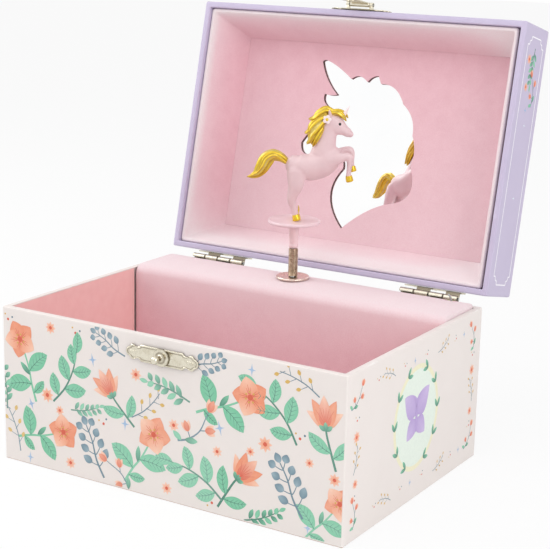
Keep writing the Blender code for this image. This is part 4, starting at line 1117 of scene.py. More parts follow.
@dataclass
class Carcass:
    """The paper-covered base: one wrapped tub, its card linings and its flocked floor."""

    inner_x: float = 74.1
    inner_y: float = 52.75
    floor_z: float = 2.2
    foot: float = 0.3
    foot_corner: float = 0.5
    rim_round: float = 0.45
    rim_x: float = 73.4
    rim_y: float = 52.0
    turn_in: float = 0.22
    turn_in_angles: Row = (90, 60, 30, 0, -40)
    arbor_bore: float = 1.9
    screw_bore: float = 1.5
    # The pad's pile is painted pale all over, like the lit shelf top, which also throws more light onto the
    # shelf's front.
    pad_painted_light: float = 0.7
    pad_x: float = 73.0
    pad_front: float = -51.65
    pad_back: float = 26.0
    pad_low: float = 2.5
    pad_high: float = 4.1
    pad_corner: float = 1.5
    pad_wave: float = 0.07
    pad_steps: Sequence[Row] = (
        (0.5, 2.5), (0.1, 2.8), (0.0, 3.3), (0.3, 3.75), (1.0, 3.9), (4.0, 4.0), (12.0, 4.02), (24.0, 4.02),
        (33.0, 4.02),
    )

    def build(self) -> None:
        """Makes the tub, the pad and the linings' finish."""
        self.tub()
        self.floor_pad()
        for name in ("front_lining", "left_lining", "right_lining"):
            dress(name, SALMON_CARD)

    def tub(self) -> None:
        """Wraps the walls and the bottom in one skin, with bores for the arbor and the screws."""
        x, y, top = HALF_WIDTH - FILM, HALF_DEPTH - FILM, BASE_HEIGHT
        rings = [wall_ring(x - self.foot, y - self.foot, self.foot_corner, 0.0)]
        rings += [wall_ring(x, y, CORNER, z) for z in (self.foot, WEAR_BAND, top - WEAR_BAND)]
        rings += rolled_edge(x, y, CORNER, top, self.rim_round, pinch=0.5)
        rings += rolled_edge(
            self.rim_x, self.rim_y, INNER_CORNER, top, self.turn_in, self.turn_in_angles, inwards=-1
        )
        for z in (rings[-1][0].z, self.floor_z):
            rings.append(wall_ring(self.inner_x, self.inner_y, INNER_CORNER, z))
        draft = Draft()
        draft.loft(rings)
        nodes = ["base_bottom_board"] + [f"base_{side}_panel" for side in SIDES]
        tub = publish(draft, "base_tub", [PRINTED_PAPER], "base", nodes)
        cutter = Draft()
        bores = [(ARBOR, self.arbor_bore)] + [(spot, self.screw_bore) for spot in SCREWS.values()]
        for (bore_x, bore_z), radius in bores:
            place = along_y(bore_x, self.inner_y - 2.0, bore_z)
            cutter.lathe(((radius, 0.0), (radius, 6.0)), 24, place)
        carve(tub, cutter)

    def floor_pad(self) -> None:
        """Lays the thin flocked pad, softly rounded at its edges and slightly uneven."""
        half_y = (self.pad_back - self.pad_front) / 2
        middle = (self.pad_back + self.pad_front) / 2
        rings = []
        for inset, z in self.pad_steps:
            ring = wall_ring(self.pad_x - inset, half_y - inset, self.pad_corner, z)
            for spot in ring:
                wave = math.sin(spot.x * 0.21) * math.cos(spot.y * 0.17 + 1.0)
                spot.z += self.pad_wave * wave * (spot.z - self.pad_low) / (self.pad_high - self.pad_low)
                spot.y += middle
            rings.append(ring)
        draft = Draft()
        # Painted light: every ring of the pad gets the same pale tone.
        draft.loft(rings, painted_light_and_shade=[self.pad_painted_light] * len(rings))
        pad = publish(draft, "floor_cushion", [PINK_FLOCK], "base", ["floor_pad"], degrees=70.0)


@dataclass
class Shelf:
    """The flocked, padded cover over the movement, with a soft front edge, and the ring in its top."""

    half: float = 73.1
    front: float = 26.3
    back: float = 51.75
    low: float = 2.5
    edge_z: float = 63.1
    crown: float = 1.05
    under_z: float = 58.7
    board: float = 2.6
    radius: float = 3.8
    steps: int = 12
    bend_steps: int = 6
    collar_hole: float = 2.9
    slot: Row = (61.7, 64.7, 50.25, 54.0)
    bore_low: float = 55.0
    bore_high: float = 70.0

    def build(self) -> None:
        """Makes the cover and the ring."""
        self.cover()
        self.grommet()

    def section(self, share: float, inset: float, sway: float) -> list[Row]:
        """Draws the cover's outline at one place along it.

        Args:
            share: The share of the full crown there.
            inset: How far the skin is pulled in there.
            sway: How uneven the skin is there.

        Returns:
            Depth, height and tone of painted light of each point.
        """
        front, back = self.front + inset, self.back - inset
        points = []
        # Painted light: the front is painted paler towards the top, the rounded edge and the top palest, the
        # back edge a little less, the underside not at all.
        for i in range(self.steps + 1):
            t = i / self.steps
            z = self.low + inset + (self.edge_z - self.radius - self.low - inset) * t
            points.append((front + 0.18 * sway * math.sin(math.pi * t), z, 0.5 * t ** 2))
        for i in range(1, self.bend_steps + 1):
            a = math.radians(90 * i / self.bend_steps)
            y = front + self.radius * (1 - math.cos(a))
            z = self.edge_z - inset - self.radius * (1 - math.sin(a))
            points.append((y, z, 0.5 + 0.3 * (i / self.bend_steps)))
        flat = front + self.radius
        for i in range(1, self.steps + 1):
            t = i / self.steps
            swell = math.sin(math.pi * min(t + 0.02, 1.0)) ** 0.75 if t < 1 else 0.0
            z = self.edge_z - inset + (self.crown + 0.1 * sway) * share * swell
            points.append((flat + (back - flat) * t, z, 0.8))
        points.append((back, self.under_z, 0.6))
        points.append((self.front + self.board, self.under_z, 0.0))
        points.append((self.front + self.board, self.low + inset, 0.0))
        return points

    def cover(self) -> None:
        """Lofts the cover from end to end, and bores it for the ring and the stop wire."""
        ends = ((0.0, 0.9), (0.25, 0.4), (0.8, 0.1), (1.8, 0.0))
        middle = [self.half - 1.8 - 4.0 * k for k in range(1, 36)]
        places = [(self.half - step, inset) for step, inset in ends] + [(x, 0.0) for x in middle]
        places += [(-(self.half - step), inset) for step, inset in reversed(ends)]
        rings = []
        tones = []
        for x, inset in places:
            share = 1 - (x / self.half) ** 6
            sway = math.sin(x * 0.13 + 0.6) * 0.7 + math.sin(x * 0.31) * 0.3
            section = self.section(share, inset, sway * share)
            rings.append([(x, y, z) for y, z, tone in section])
            tones.append([tone for y, z, tone in section])
        draft = Draft()
        for ring, row in zip(draft.loft(rings), tones):
            for vert, tone in zip(ring, row):
                vert[draft.pile] = tone
        nodes = ("shelf_top_pad", "shelf_front_pad")
        cover = publish(draft, "movement_cover", [PINK_FLOCK], "base", nodes, degrees=60.0)
        cutter = Draft()
        cutter.lathe([(self.collar_hole, z) for z in (self.bore_low, self.bore_high)], 32, POST)
        left, right, front, back = self.slot
        cutter.block((left, front, self.bore_low), (right, back, self.bore_high))
        carve(cover, cutter, 60.0)

    def grommet(self) -> None:
        """Turns the thin dished ring that the spindle comes up through."""
        profile = (
            (1.5, 65.0), (2.0, 65.02), (2.6, 64.98), (4.2, 65.0), (5.4, 65.12), (6.2, 65.34), (6.55, 65.38),
            (6.8, 65.25), (6.88, 64.95), (6.88, 64.62), (6.75, 64.5), (5.0, 64.5), (2.6, 64.5), (2.6, 58.4),
            (2.5, 58.3), (1.6, 58.3), (1.5, 58.4),
        )
        draft = Draft()
        draft.lathe(profile, 72, POST, cyclic=True)
        publish(draft, "spindle_ring", [RING_NICKEL], "base", ["spindle_grommet"], degrees=50.0)


@dataclass
class LidCase:
    """The lavender lid: its wrapped case, its flocked lining frame, the cut-out panel and the mirror."""

    inner_x: float = 73.4
    inner_y: float = 52.05
    roof_z: float = 84.6
    rim_round: float = 0.5
    top_round: float = 0.7
    near_x: float = 73.2
    near_y: float = 51.92
    near_z: float = 63.8
    far_x: float = 62.7
    far_y: float = 42.35
    far_z: float = 82.2
    panel_z: float = 82.3
    panel_top: float = 83.39
    cut_height: float = 71.0
    cut_steps: int = 12
    flock_depth: float = 0.3
    slack: float = 1.3
    puff: float = 0.35
    side_steps: int = 16
    slant_steps: int = 8
    lip_corner: float = 1.2
    lip: Sequence[Row] = (
        (0.0, 1.6), (0.0, 0.7), (0.25, 0.2), (0.7, 0.0), (1.2, 0.05), (1.6, 0.35), (1.8, 0.9),
    )

    def build(self) -> None:
        """Makes the case, the lining, the panel and the mirror's finish."""
        self.case()
        self.lining_frame()
        self.panel()
        dress("mirror", MIRROR)

    def case(self) -> None:
        """Wraps the lid's walls and top in one skin."""
        x, y, top = HALF_WIDTH - FILM, HALF_DEPTH - FILM, LID_TOP_Z - FILM
        r = self.rim_round
        rings = [wall_ring(self.inner_x, self.inner_y, INNER_CORNER, self.roof_z)]
        rings += rolled_edge(self.inner_x, self.inner_y, INNER_CORNER, RIM_Z, r, inwards=-1, upwards=-1)
        rings += rolled_edge(x, y, CORNER, RIM_Z, r, ROLL[::-1], upwards=-1)
        rings += [wall_ring(x, y, CORNER, z) for z in (RIM_Z + WEAR_BAND, LID_TOP_Z - WEAR_BAND)]
        rings += rolled_edge(x, y, CORNER, top, self.top_round)
        rings += [wall_ring(x - inset, y - inset, 0.5, top) for inset in (2 * WEAR_BAND, 30.0)]
        draft = Draft()
        draft.loft(rings)
        nodes = ["lid_top_panel"] + [f"lid_{side}_wall" for side in SIDES]
        publish(draft, "lid_case", [LAVENDER_PAPER], "lid", nodes, LID_TURN)

    def lining_frame(self) -> None:
        """Makes the padded frame that slants from the rim in to the panel."""
        rings = []
        for inset, rise in self.lip:
            x, y, z = self.near_x - inset, self.near_y - inset, self.near_z + rise
            rings.append(rounded_ring(x, y, self.lip_corner, z, self.side_steps))
        # The lip is painted palest, a painted highlight along the lit rim, and the slant fades from it to the
        # plain flock by the panel.
        tones = [1.0] * len(rings)
        thick, rise = self.lip[-1]
        for step in range(1, self.slant_steps + 1):
            t = step / self.slant_steps
            x = self.near_x - thick + (self.far_x - self.near_x + thick) * t
            y = self.near_y - thick + (self.far_y - self.near_y + thick) * t
            z = self.near_z + rise + (self.far_z - self.near_z - rise) * t
            ring = rounded_ring(x, y, self.lip_corner - 0.8 * t, z, self.side_steps)
            puff = self.puff * math.sin(math.pi * t)
            for spot in ring:
                spot.x *= 1 - puff / self.near_x
                spot.y *= 1 - puff / self.near_y
            rings.append(ring)
            tones.append(0.55 * (1 - t) ** 3)
        x, y = self.far_x + thick, self.far_y + thick
        rings.append(rounded_ring(x, y, INNER_CORNER, self.far_z, self.side_steps))
        tones.append(0.0)
        for ring in rings:
            for spot in ring:
                pull = max(0.0, spot.x / self.near_x) ** 12 * (self.far_z - spot.z)
                spot.x -= self.slack * max(0.0, pull / (self.far_z - self.near_z))
        draft = Draft()
        # Painted light by side: the back and the right linings are painted paler where more light falls on
        # them, the front a little.
        for ring, tone in zip(draft.loft(rings, cyclic=True), tones):
            for vert in ring:
                back = max(0.0, vert.co.y / self.near_y) ** 4
                right = max(0.0, vert.co.x / self.near_x) ** 6
                front = max(0.0, -vert.co.y / self.near_y) ** 4
                vert[draft.pile] = min(1.0, tone + back + 1.6 * right + 0.25 * front)
        nodes = [f"lid_{side}_lining" for side in ("front", "right", "back", "left")]
        frame_pad = publish(draft, "lid_lining_frame", [PINK_FLOCK], "lid", nodes, LID_TURN, 75.0)

    def cutout(self) -> list[Row]:
        """Draws the unicorn-head opening: each corner, then a curve to the next, pulled towards its bend.

        Returns:
            Its points, across and back.
        """
        turns = (
            ((-34.2, 48.6), (-33.0, 50.0)),
            ((-31.0, 49.5), (-23.0, 47.2)),
            ((-12.7, 39.4), (-7.3, 44.0)),
            ((-1.4, 38.4), (0.9, 42.2)),
            ((5.7, 42.6), (6.8, 40.3)),
            ((8.0, 37.9), (19.0, 39.2)),
            ((24.7, 27.0), (34.0, 20.5)),
            ((33.6, 9.0), (38.0, 0.0)),
            ((35.2, -9.0), (44.0, -29.0)),
            ((25.0, -32.8), (11.0, -36.0)),
            ((-5.4, -51.5), (-24.4, -33.0)),
            ((-9.8, -15.3), (-9.0, -4.0)),
            ((-28.0, -6.5), (-41.0, -13.5)),
            ((-41.5, -2.0), (-36.0, 6.0)),
            ((-26.4, 21.6), (-31.0, 24.5)),
            ((-29.6, 29.0), (-25.0, 27.8)),
            ((-20.9, 29.1), (-30.7, 37.3)),
        )
        unit = self.cut_height / 100
        points = []
        for i, (corner, bend) in enumerate(turns):
            start, pull = Vector(corner), Vector(bend)
            stop = Vector(turns[(i + 1) % len(turns)][0])
            for step in range(self.cut_steps):
                t = step / self.cut_steps
                spot = start * (1 - t) ** 2 + pull * (2 * t * (1 - t)) + stop * t ** 2
                points.append((spot.x * unit, -spot.y * unit))
        return points

    def panel(self) -> None:
        """Makes the flocked panel with its opening and the bare board in the cut edge."""
        outer = rounded_ring(self.near_x, self.near_y, 0.5, 0.0)
        hole = self.cutout()
        draft = Draft()
        flats = []
        for z in (self.panel_z, self.panel_top):
            flat = []
            edges = []
            for loop in (outer, hole):
                verts = draft.ring([(p[0], p[1], z) for p in loop])
                # Painted light: the panel is painted paler towards its back edge, the foot of the open lid.
                for vert in verts:
                    vert[draft.pile] = 0.4 * max(0.0, 0.4 + 0.6 * vert.co.y / self.near_y)
                edges += [draft.bm.edges.new((a, b)) for a, b in zip(verts, verts[1:] + verts[:1])]
                flat.append(verts)
            bmesh.ops.triangle_fill(draft.bm, use_beauty=True, edges=edges)
            flats.append(flat)
        draft.skin(flats[0][0], flats[1][0])
        middle = draft.ring([(p[0], p[1], self.panel_z + self.flock_depth) for p in hole])
        draft.skin(flats[0][1], middle)
        draft.skin(middle, flats[1][1], slot=1)
        finishes = [PINK_FLOCK, BOARD_EDGE]
        publish(draft, "mirror_surround", finishes, "lid", ["mirror_panel"], LID_TURN)


@dataclass
class Hinges:
    """Two nickel butt hinges with four knuckles each, nailed to the back."""

    centres: Row = (-51.0, 51.0)
    width: float = 26.0
    barrel: float = 1.3
    bore: float = 0.8
    leaf_inner: float = 54.95
    leaf: float = 0.5
    leaf_height: float = 7.5
    gap: float = 0.44
    foot: float = 1.2
    knuckles: int = 4
    corner: float = 1.1
    nails: Row = (-9.2, 0.0, 9.2)
    nail_head: Sequence[Row] = ((1.0, 0.0), (0.95, 0.12), (0.7, 0.28), (0.35, 0.36), (0.0, 0.38))
    curl_start: float = -115.0
    curl: float = 290.0
    curl_steps: int = 24
    # How far the painted shade at each knuckle's ends reaches in.
    edge_band: float = 0.3

    def build(self) -> None:
        """Makes both hinges: the base leaf, the lid leaf and the pin of each."""
        for side, centre in zip(("left", "right"), self.centres):
            for kind, first in (("base", 0), ("lid", 1)):
                draft = Draft()
                self.plate(draft, centre, kind == "lid")
                pitch = self.width / self.knuckles
                for k in range(first, self.knuckles, 2):
                    self.knuckle(draft, centre - self.width / 2 + k * pitch, pitch, kind == "lid")
                turn = LID_TURN if kind == "lid" else None
                name = f"hinge_{kind}_leaf_{side}"
                publish(draft, f"{name}_plated", [NICKEL], kind, [name], turn, 32.0)
            dress(f"hinge_pin_{side}", STEEL)

    def plate(self, draft: Draft, centre: float, upwards: bool) -> None:
        """Draws a leaf with round corners, a rolled edge and its nails.

        Args:
            draft: The draft that it goes in.
            centre: The middle of the hinge, across.
            upwards: Whether the leaf stands above the axis, on the lid.
        """
        flip = 1 if upwards else -1
        reach = self.leaf_height - self.barrel - self.foot
        middle = HINGE_Z + flip * (self.leaf_height - reach / 2)
        place = along_y(centre, self.leaf_inner, middle)
        for inset, low, high in ((0.0, 0.0, 0.36), (0.14, 0.36, self.leaf)):
            outline = rounded_ring(self.width / 2 - inset, reach / 2 - inset, self.corner, 0.0)
            draft.prism([(p.x, p.y) for p in outline], low, high, place)
        for along in self.nails:
            spot = along_y(centre + along, self.leaf_inner + self.leaf - 0.05, middle + flip * 0.9)
            draft.lathe(self.nail_head, 20, spot)

    def knuckle(self, draft: Draft, start: float, pitch: float, upwards: bool) -> None:
        """Rolls one knuckle: a foot on the leaf, then a curl round the pin.

        Args:
            draft: The draft that it goes in.
            start: Where it starts, across.
            pitch: The room that it has.
            upwards: Whether it is the lid's.
        """
        flip = 1 if upwards else -1
        low, high = start + self.gap / 2, start + pitch - self.gap / 2
        face = self.leaf_inner + self.leaf
        foot = -self.barrel - 1.4
        outer = [(self.leaf_inner, foot), (face, foot), (face, -self.barrel - 0.3)]
        inner = []
        for i in range(self.curl_steps + 1):
            degrees = self.curl_start + self.curl * i / self.curl_steps
            outer.append(polar((HINGE_Y, 0.0), degrees, self.barrel))
            inner.append(polar((HINGE_Y, 0.0), degrees, self.bore))
        heel = [(HINGE_Y - 0.9, -self.barrel * 0.75), (self.leaf_inner, -self.barrel + 0.1)]
        outline = [(y, HINGE_Z - flip * z) for y, z in outer + inner[::-1] + heel]
        rings = []
        for x in (low, low + self.edge_band, high - self.edge_band, high):
            rings.append([(x, y, z) for y, z in outline])
        # Painted shade: each knuckle's ends, in the gaps between knuckles, and its foot against the leaf are
        # darkened.
        for ring in draft.loft(rings, painted_light_and_shade=(0.85, 0.0, 0.0, 0.85)):
            draft.tone(ring[:3] + ring[-2:], 0.8)


@dataclass
class Clasp:
    """The stamped plate with its ball knob, and the hasp that hangs over it."""

    plate_z: float = 54.8
    plate_back: float = -54.95
    length: float = 32.0
    height: float = 6.4
    thick: float = 0.5
    hasp_length: float = 28.0
    hasp_z: float = 66.1
    axis_y: float = -57.35
    axis_z: float = 64.3
    flap_half: float = 4.5
    flap_thick: float = 0.5
    eye: float = 1.9
    eye_drop: float = 9.5
    tip: float = 4.3
    barrel: float = 1.0
    droop: float = 3.0
    ear: float = 0.7
    knob_ball: float = 1.5

    def build(self) -> None:
        """Makes the base plate, the knob, the hasp's plate and its flap."""
        draft = Draft()
        self.stamped(draft, self.length, self.plate_z)
        publish(draft, "clasp_plate_stamped", [NICKEL], "base", ["clasp_plate"], None, 30.0)
        self.knob()
        self.hasp_plate()
        self.flap()
        dress("hasp_pin", STEEL)

    def outline(self, length: float, inset: float) -> list[Row]:
        """Draws a plate with scalloped, stepped ends.

        Args:
            length: The plate's length.
            inset: How far the line lies inside the edge.

        Returns:
            Its points, across and up from its middle.
        """
        shares = (
            (0.22, 0.5), (0.285, 0.5), (0.3, 0.44), (0.315, 0.37), (0.34, 0.345), (0.365, 0.36),
            (0.38, 0.42), (0.4, 0.45), (0.42, 0.44), (0.44, 0.36), (0.452, 0.28), (0.475, 0.235),
            (0.49, 0.16), (0.499, 0.06),
        )
        shrink_u = 1 - 2 * inset / length
        shrink_v = 1 - 2 * inset / self.height
        quarter = [(u * length * shrink_u, v * self.height * shrink_v) for u, v in shares]
        right = quarter + [(u, -v) for u, v in reversed(quarter)]
        return right + [(-u, -v) for u, v in right]

    def stamped(self, draft: Draft, length: float, z: float) -> None:
        """Presses a plate: a rolled edge, a raised bead, a sunk field and three studs at each end.

        Args:
            draft: The draft that it goes in.
            length: The plate's length.
            z: The height of its middle.
        """
        place = along_y(0.0, self.plate_back, z, -1)
        steps = ((0.0, 0.0), (0.0, 0.24), (0.12, 0.4), (0.35, 0.5), (0.58, 0.44), (0.8, 0.26), (1.15, 0.22))
        # Painted shade along the plate's foot and in the hollow inside its bead.
        painted_shade = (0.8, 0.35, 0.0, 0.0, 0.15, 0.75, 0.0)
        rings = []
        for inset, rise in steps:
            rings.append([place @ Vector((u, v, rise)) for u, v in self.outline(length, inset)])
        draft.loft(rings, painted_light_and_shade=painted_shade)
        for sign in (-1, 1):
            for k in range(3):
                spot = place @ Matrix.Translation((sign * (length * 0.5 - 2.3 - 1.05 * k), 0.0, 0.2))
                size = 0.55 + 0.12 * k
                draft.lathe(((size, 0.0), (size * 0.85, 0.1), (size * 0.45, 0.19), (0.0, 0.22)), 16, spot)

    def knob(self) -> None:
        """Turns the knob: a petalled boss, a neck and a ball."""
        place = along_y(0.0, self.plate_back - self.thick - 0.3, self.plate_z, -1)
        profile = [
            (3.2, -0.5), (3.2, 0.1), (2.9, 0.26), (2.4, 0.34), (1.9, 0.3), (1.6, 0.42), (1.1, 0.6),
            (0.85, 1.0), (0.9, 2.3),
        ]
        for k in range(1, 10):
            a = math.radians(36 + 144 * k / 9)
            profile.append((self.knob_ball * math.sin(a), 3.6 - self.knob_ball * math.cos(a)))
        draft = Draft()

        def petals(angle: float, point: int) -> float:
            """Scallops the boss's rim."""
            return 1 + 0.06 * abs(math.cos(5 * angle)) if point < 4 else 1.0

        rings = draft.lathe(profile, 80, place, ripple=petals)
        # Painted shade at the boss's foot, in the dip inside its rim, and down the neck under the ball.
        for index, painted_shade in ((0, 0.9), (1, 0.4), (4, 0.7), (5, 0.35), (7, 0.7), (8, 0.9), (9, 0.3)):
            draft.tone(rings[index], painted_shade)
        publish(draft, "clasp_knob_turned", [NICKEL], "base", ["clasp_knob"], None, 45.0)

    def hasp_plate(self) -> None:
        """Presses the lid's plate and bends up its two ears."""
        draft = Draft()
        self.stamped(draft, self.hasp_length, self.hasp_z)
        reach = self.plate_back - 0.2 - self.axis_y
        for sign in (-1, 1):
            middle = sign * (self.flap_half + 0.3 + self.ear)
            place = along_x(middle - self.ear, self.axis_y, self.axis_z)
            profile = ((1.0, 0.0), (1.0, 1.4), (0.7, 1.4), (0.7, 0.0))
            draft.lathe(profile, 28, place, cyclic=True)
            ear = Draft()
            low = (middle - self.ear, self.axis_y + 0.75, self.axis_z - 0.85)
            high = (middle + self.ear, self.axis_y + reach, self.axis_z + 0.85)
            ear.block(low, high)
            ear.soften(0.12)
            mesh = ear.mesh("ear", scale=1.0)
            draft.bm.from_mesh(mesh)
            bpy.data.meshes.remove(mesh)
        publish(draft, "hasp_plate_stamped", [NICKEL], "lid", ["hasp_plate"], LID_TURN, 30.0)

    def tongue(self, angles: Row, eye_z: float) -> list[Row]:
        """Draws the tongue's outline: a round tip, then a waisted neck up to the barrel.

        Args:
            angles: Where round the eye each point lies.
            eye_z: The height of the eye.

        Returns:
            Its points, across and up.
        """
        top = self.axis_z - 0.3
        points = []
        for a in angles:
            if math.sin(a) <= 0:
                points.append((self.flap_half * math.cos(a), eye_z + self.tip * math.sin(a)))
            else:
                waist = 1 - 0.18 * math.sin(2 * a) ** 2
                side = min(1.0, math.sin(a) * 1.6)
                across = self.flap_half * max(-1.0, min(1.0, 1.45 * math.cos(a))) * waist
                points.append((across, eye_z + (top - eye_z) * side))
        return points

    def flap(self) -> None:
        """Makes the hasp's tongue with its eye, a raised border and the barrel on the pin."""
        eye_z = self.axis_z - self.eye_drop
        face = self.axis_y - self.barrel
        count = 64
        angles = [2 * math.pi * k / count for k in range(count)]
        outline = self.tongue(angles, eye_z)
        rings = []
        for depth, inset in ((self.flap_thick, 0.0), (0.1, 0.0), (0.0, 0.25), (0.0, 0.6), (0.14, 0.95)):
            ring = []
            for u, v in outline:
                pull = Vector((-u, eye_z - v)).normalized() * inset
                ring.append((u + pull.x, face + depth, v + pull.y))
            rings.append(ring)
        for depth, grow in ((0.14, 0.75), (0.0, 0.45), (0.0, 0.15), (0.12, 0.0), (self.flap_thick, 0.0)):
            radius = self.eye + grow
            rings.append([(radius * math.cos(a), face + depth, eye_z + radius * math.sin(a)) for a in angles])
        draft = Draft()
        draft.loft(rings, cyclic=True)
        profile = ((1.0, 0.1), (1.0, 8.9), (0.9, 9.0), (0.8, 9.0), (0.8, 0.0), (0.9, 0.0))
        draft.lathe(profile, 32, along_x(-self.flap_half, self.axis_y, self.axis_z), cyclic=True)
        turn = LID_TURN @ turn_about(self.axis_y, self.axis_z, self.droop)
        publish(draft, "hasp_tongue", [NICKEL], "hasp", ["hasp_flap"], turn, 32.0)


@dataclass
class Stand:
    """The moulded disc and stem, and the close-wound spring that carries them."""

    spring_low: float = 65.1
    spring_high: float = 77.1
    coil: float = 1.7
    wire: float = 0.24
    turns: int = 23
    turn_steps: int = 28
    grip: float = 1.0
    blush_z: float = 84.0
    blush: float = 3.4

    def build(self) -> None:
        """Makes the spring and the stand."""
        self.spring()
        self.moulding()

    def spring(self) -> None:
        """Winds the spring and lets it bend between the base and the fold."""
        rise = self.spring_high - self.spring_low - 2 * self.wire
        count = self.turns * self.turn_steps
        rows = []
        for i in range(count + 1):
            a = 2 * math.pi * i / self.turn_steps
            x, y = POST_X + self.coil * math.cos(a), POST_Y + self.coil * math.sin(a)
            rows.append((x, y, self.spring_low + self.wire + rise * i / count, self.wire, self.wire))
        draft = Draft()

        def flat(angle: float, share: float) -> float:
            """Squares the wire's section."""
            return (math.cos(angle) ** 4 + math.sin(angle) ** 4) ** -0.25

        draft.tube(rows, 12, Vector((0.0, 0.0, 1.0)), flat)
        spring = publish(draft, "wound_spring", [SPRING_NICKEL], None, ["bending_spring"], None, 60.0)
        low, high = self.spring_low + self.grip, self.spring_high - self.grip
        start = Vector((POST_X, POST_Y, low)) * METRES
        end = Vector((POST_X, POST_Y, high)) * METRES
        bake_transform(spring, "base", "fold", tuple(start), tuple(end))

    def moulding(self) -> None:
        """Turns the stem and the disc with its raised lip."""
        profile = (
            (0.0, 75.4), (0.85, 75.45), (0.9, 75.6), (0.9, 77.4), (1.75, 77.4), (1.87, 77.5), (1.9, 78.6),
            (1.78, 78.75), (1.8, 79.0), (2.1, 84.0), (2.3, 86.6), (2.6, 87.2), (3.4, 87.42), (9.8, 87.42),
            (10.4, 87.5), (10.72, 87.75), (10.8, 88.15), (10.75, 88.55), (10.5, 88.86), (10.1, 89.0),
            (9.75, 88.92), (9.45, 88.72), (9.0, 88.66), (0.0, 88.7),
        )
        draft = Draft()
        rings = draft.lathe(profile, 96, POST)
        for ring, (radius, height) in zip(rings, profile):
            share = min(1.0, max(0.0, (height - self.blush_z) / self.blush))
            draft.paint(ring, between(STEM_PINK, STAND_PINK, share))
        publish(draft, "figure_stand_moulded", [FIGURE_PINK], "figure", ["figure_stand"], None, 50.0)


LEFT = Vector((0.0, 1.0, 0.0))


def mirrored(chain: Chain) -> Chain:
    """Returns a chain of the figure moved to its other side."""
    return [(ahead, -left, up, thick, wide) for ahead, left, up, thick, wide in chain]


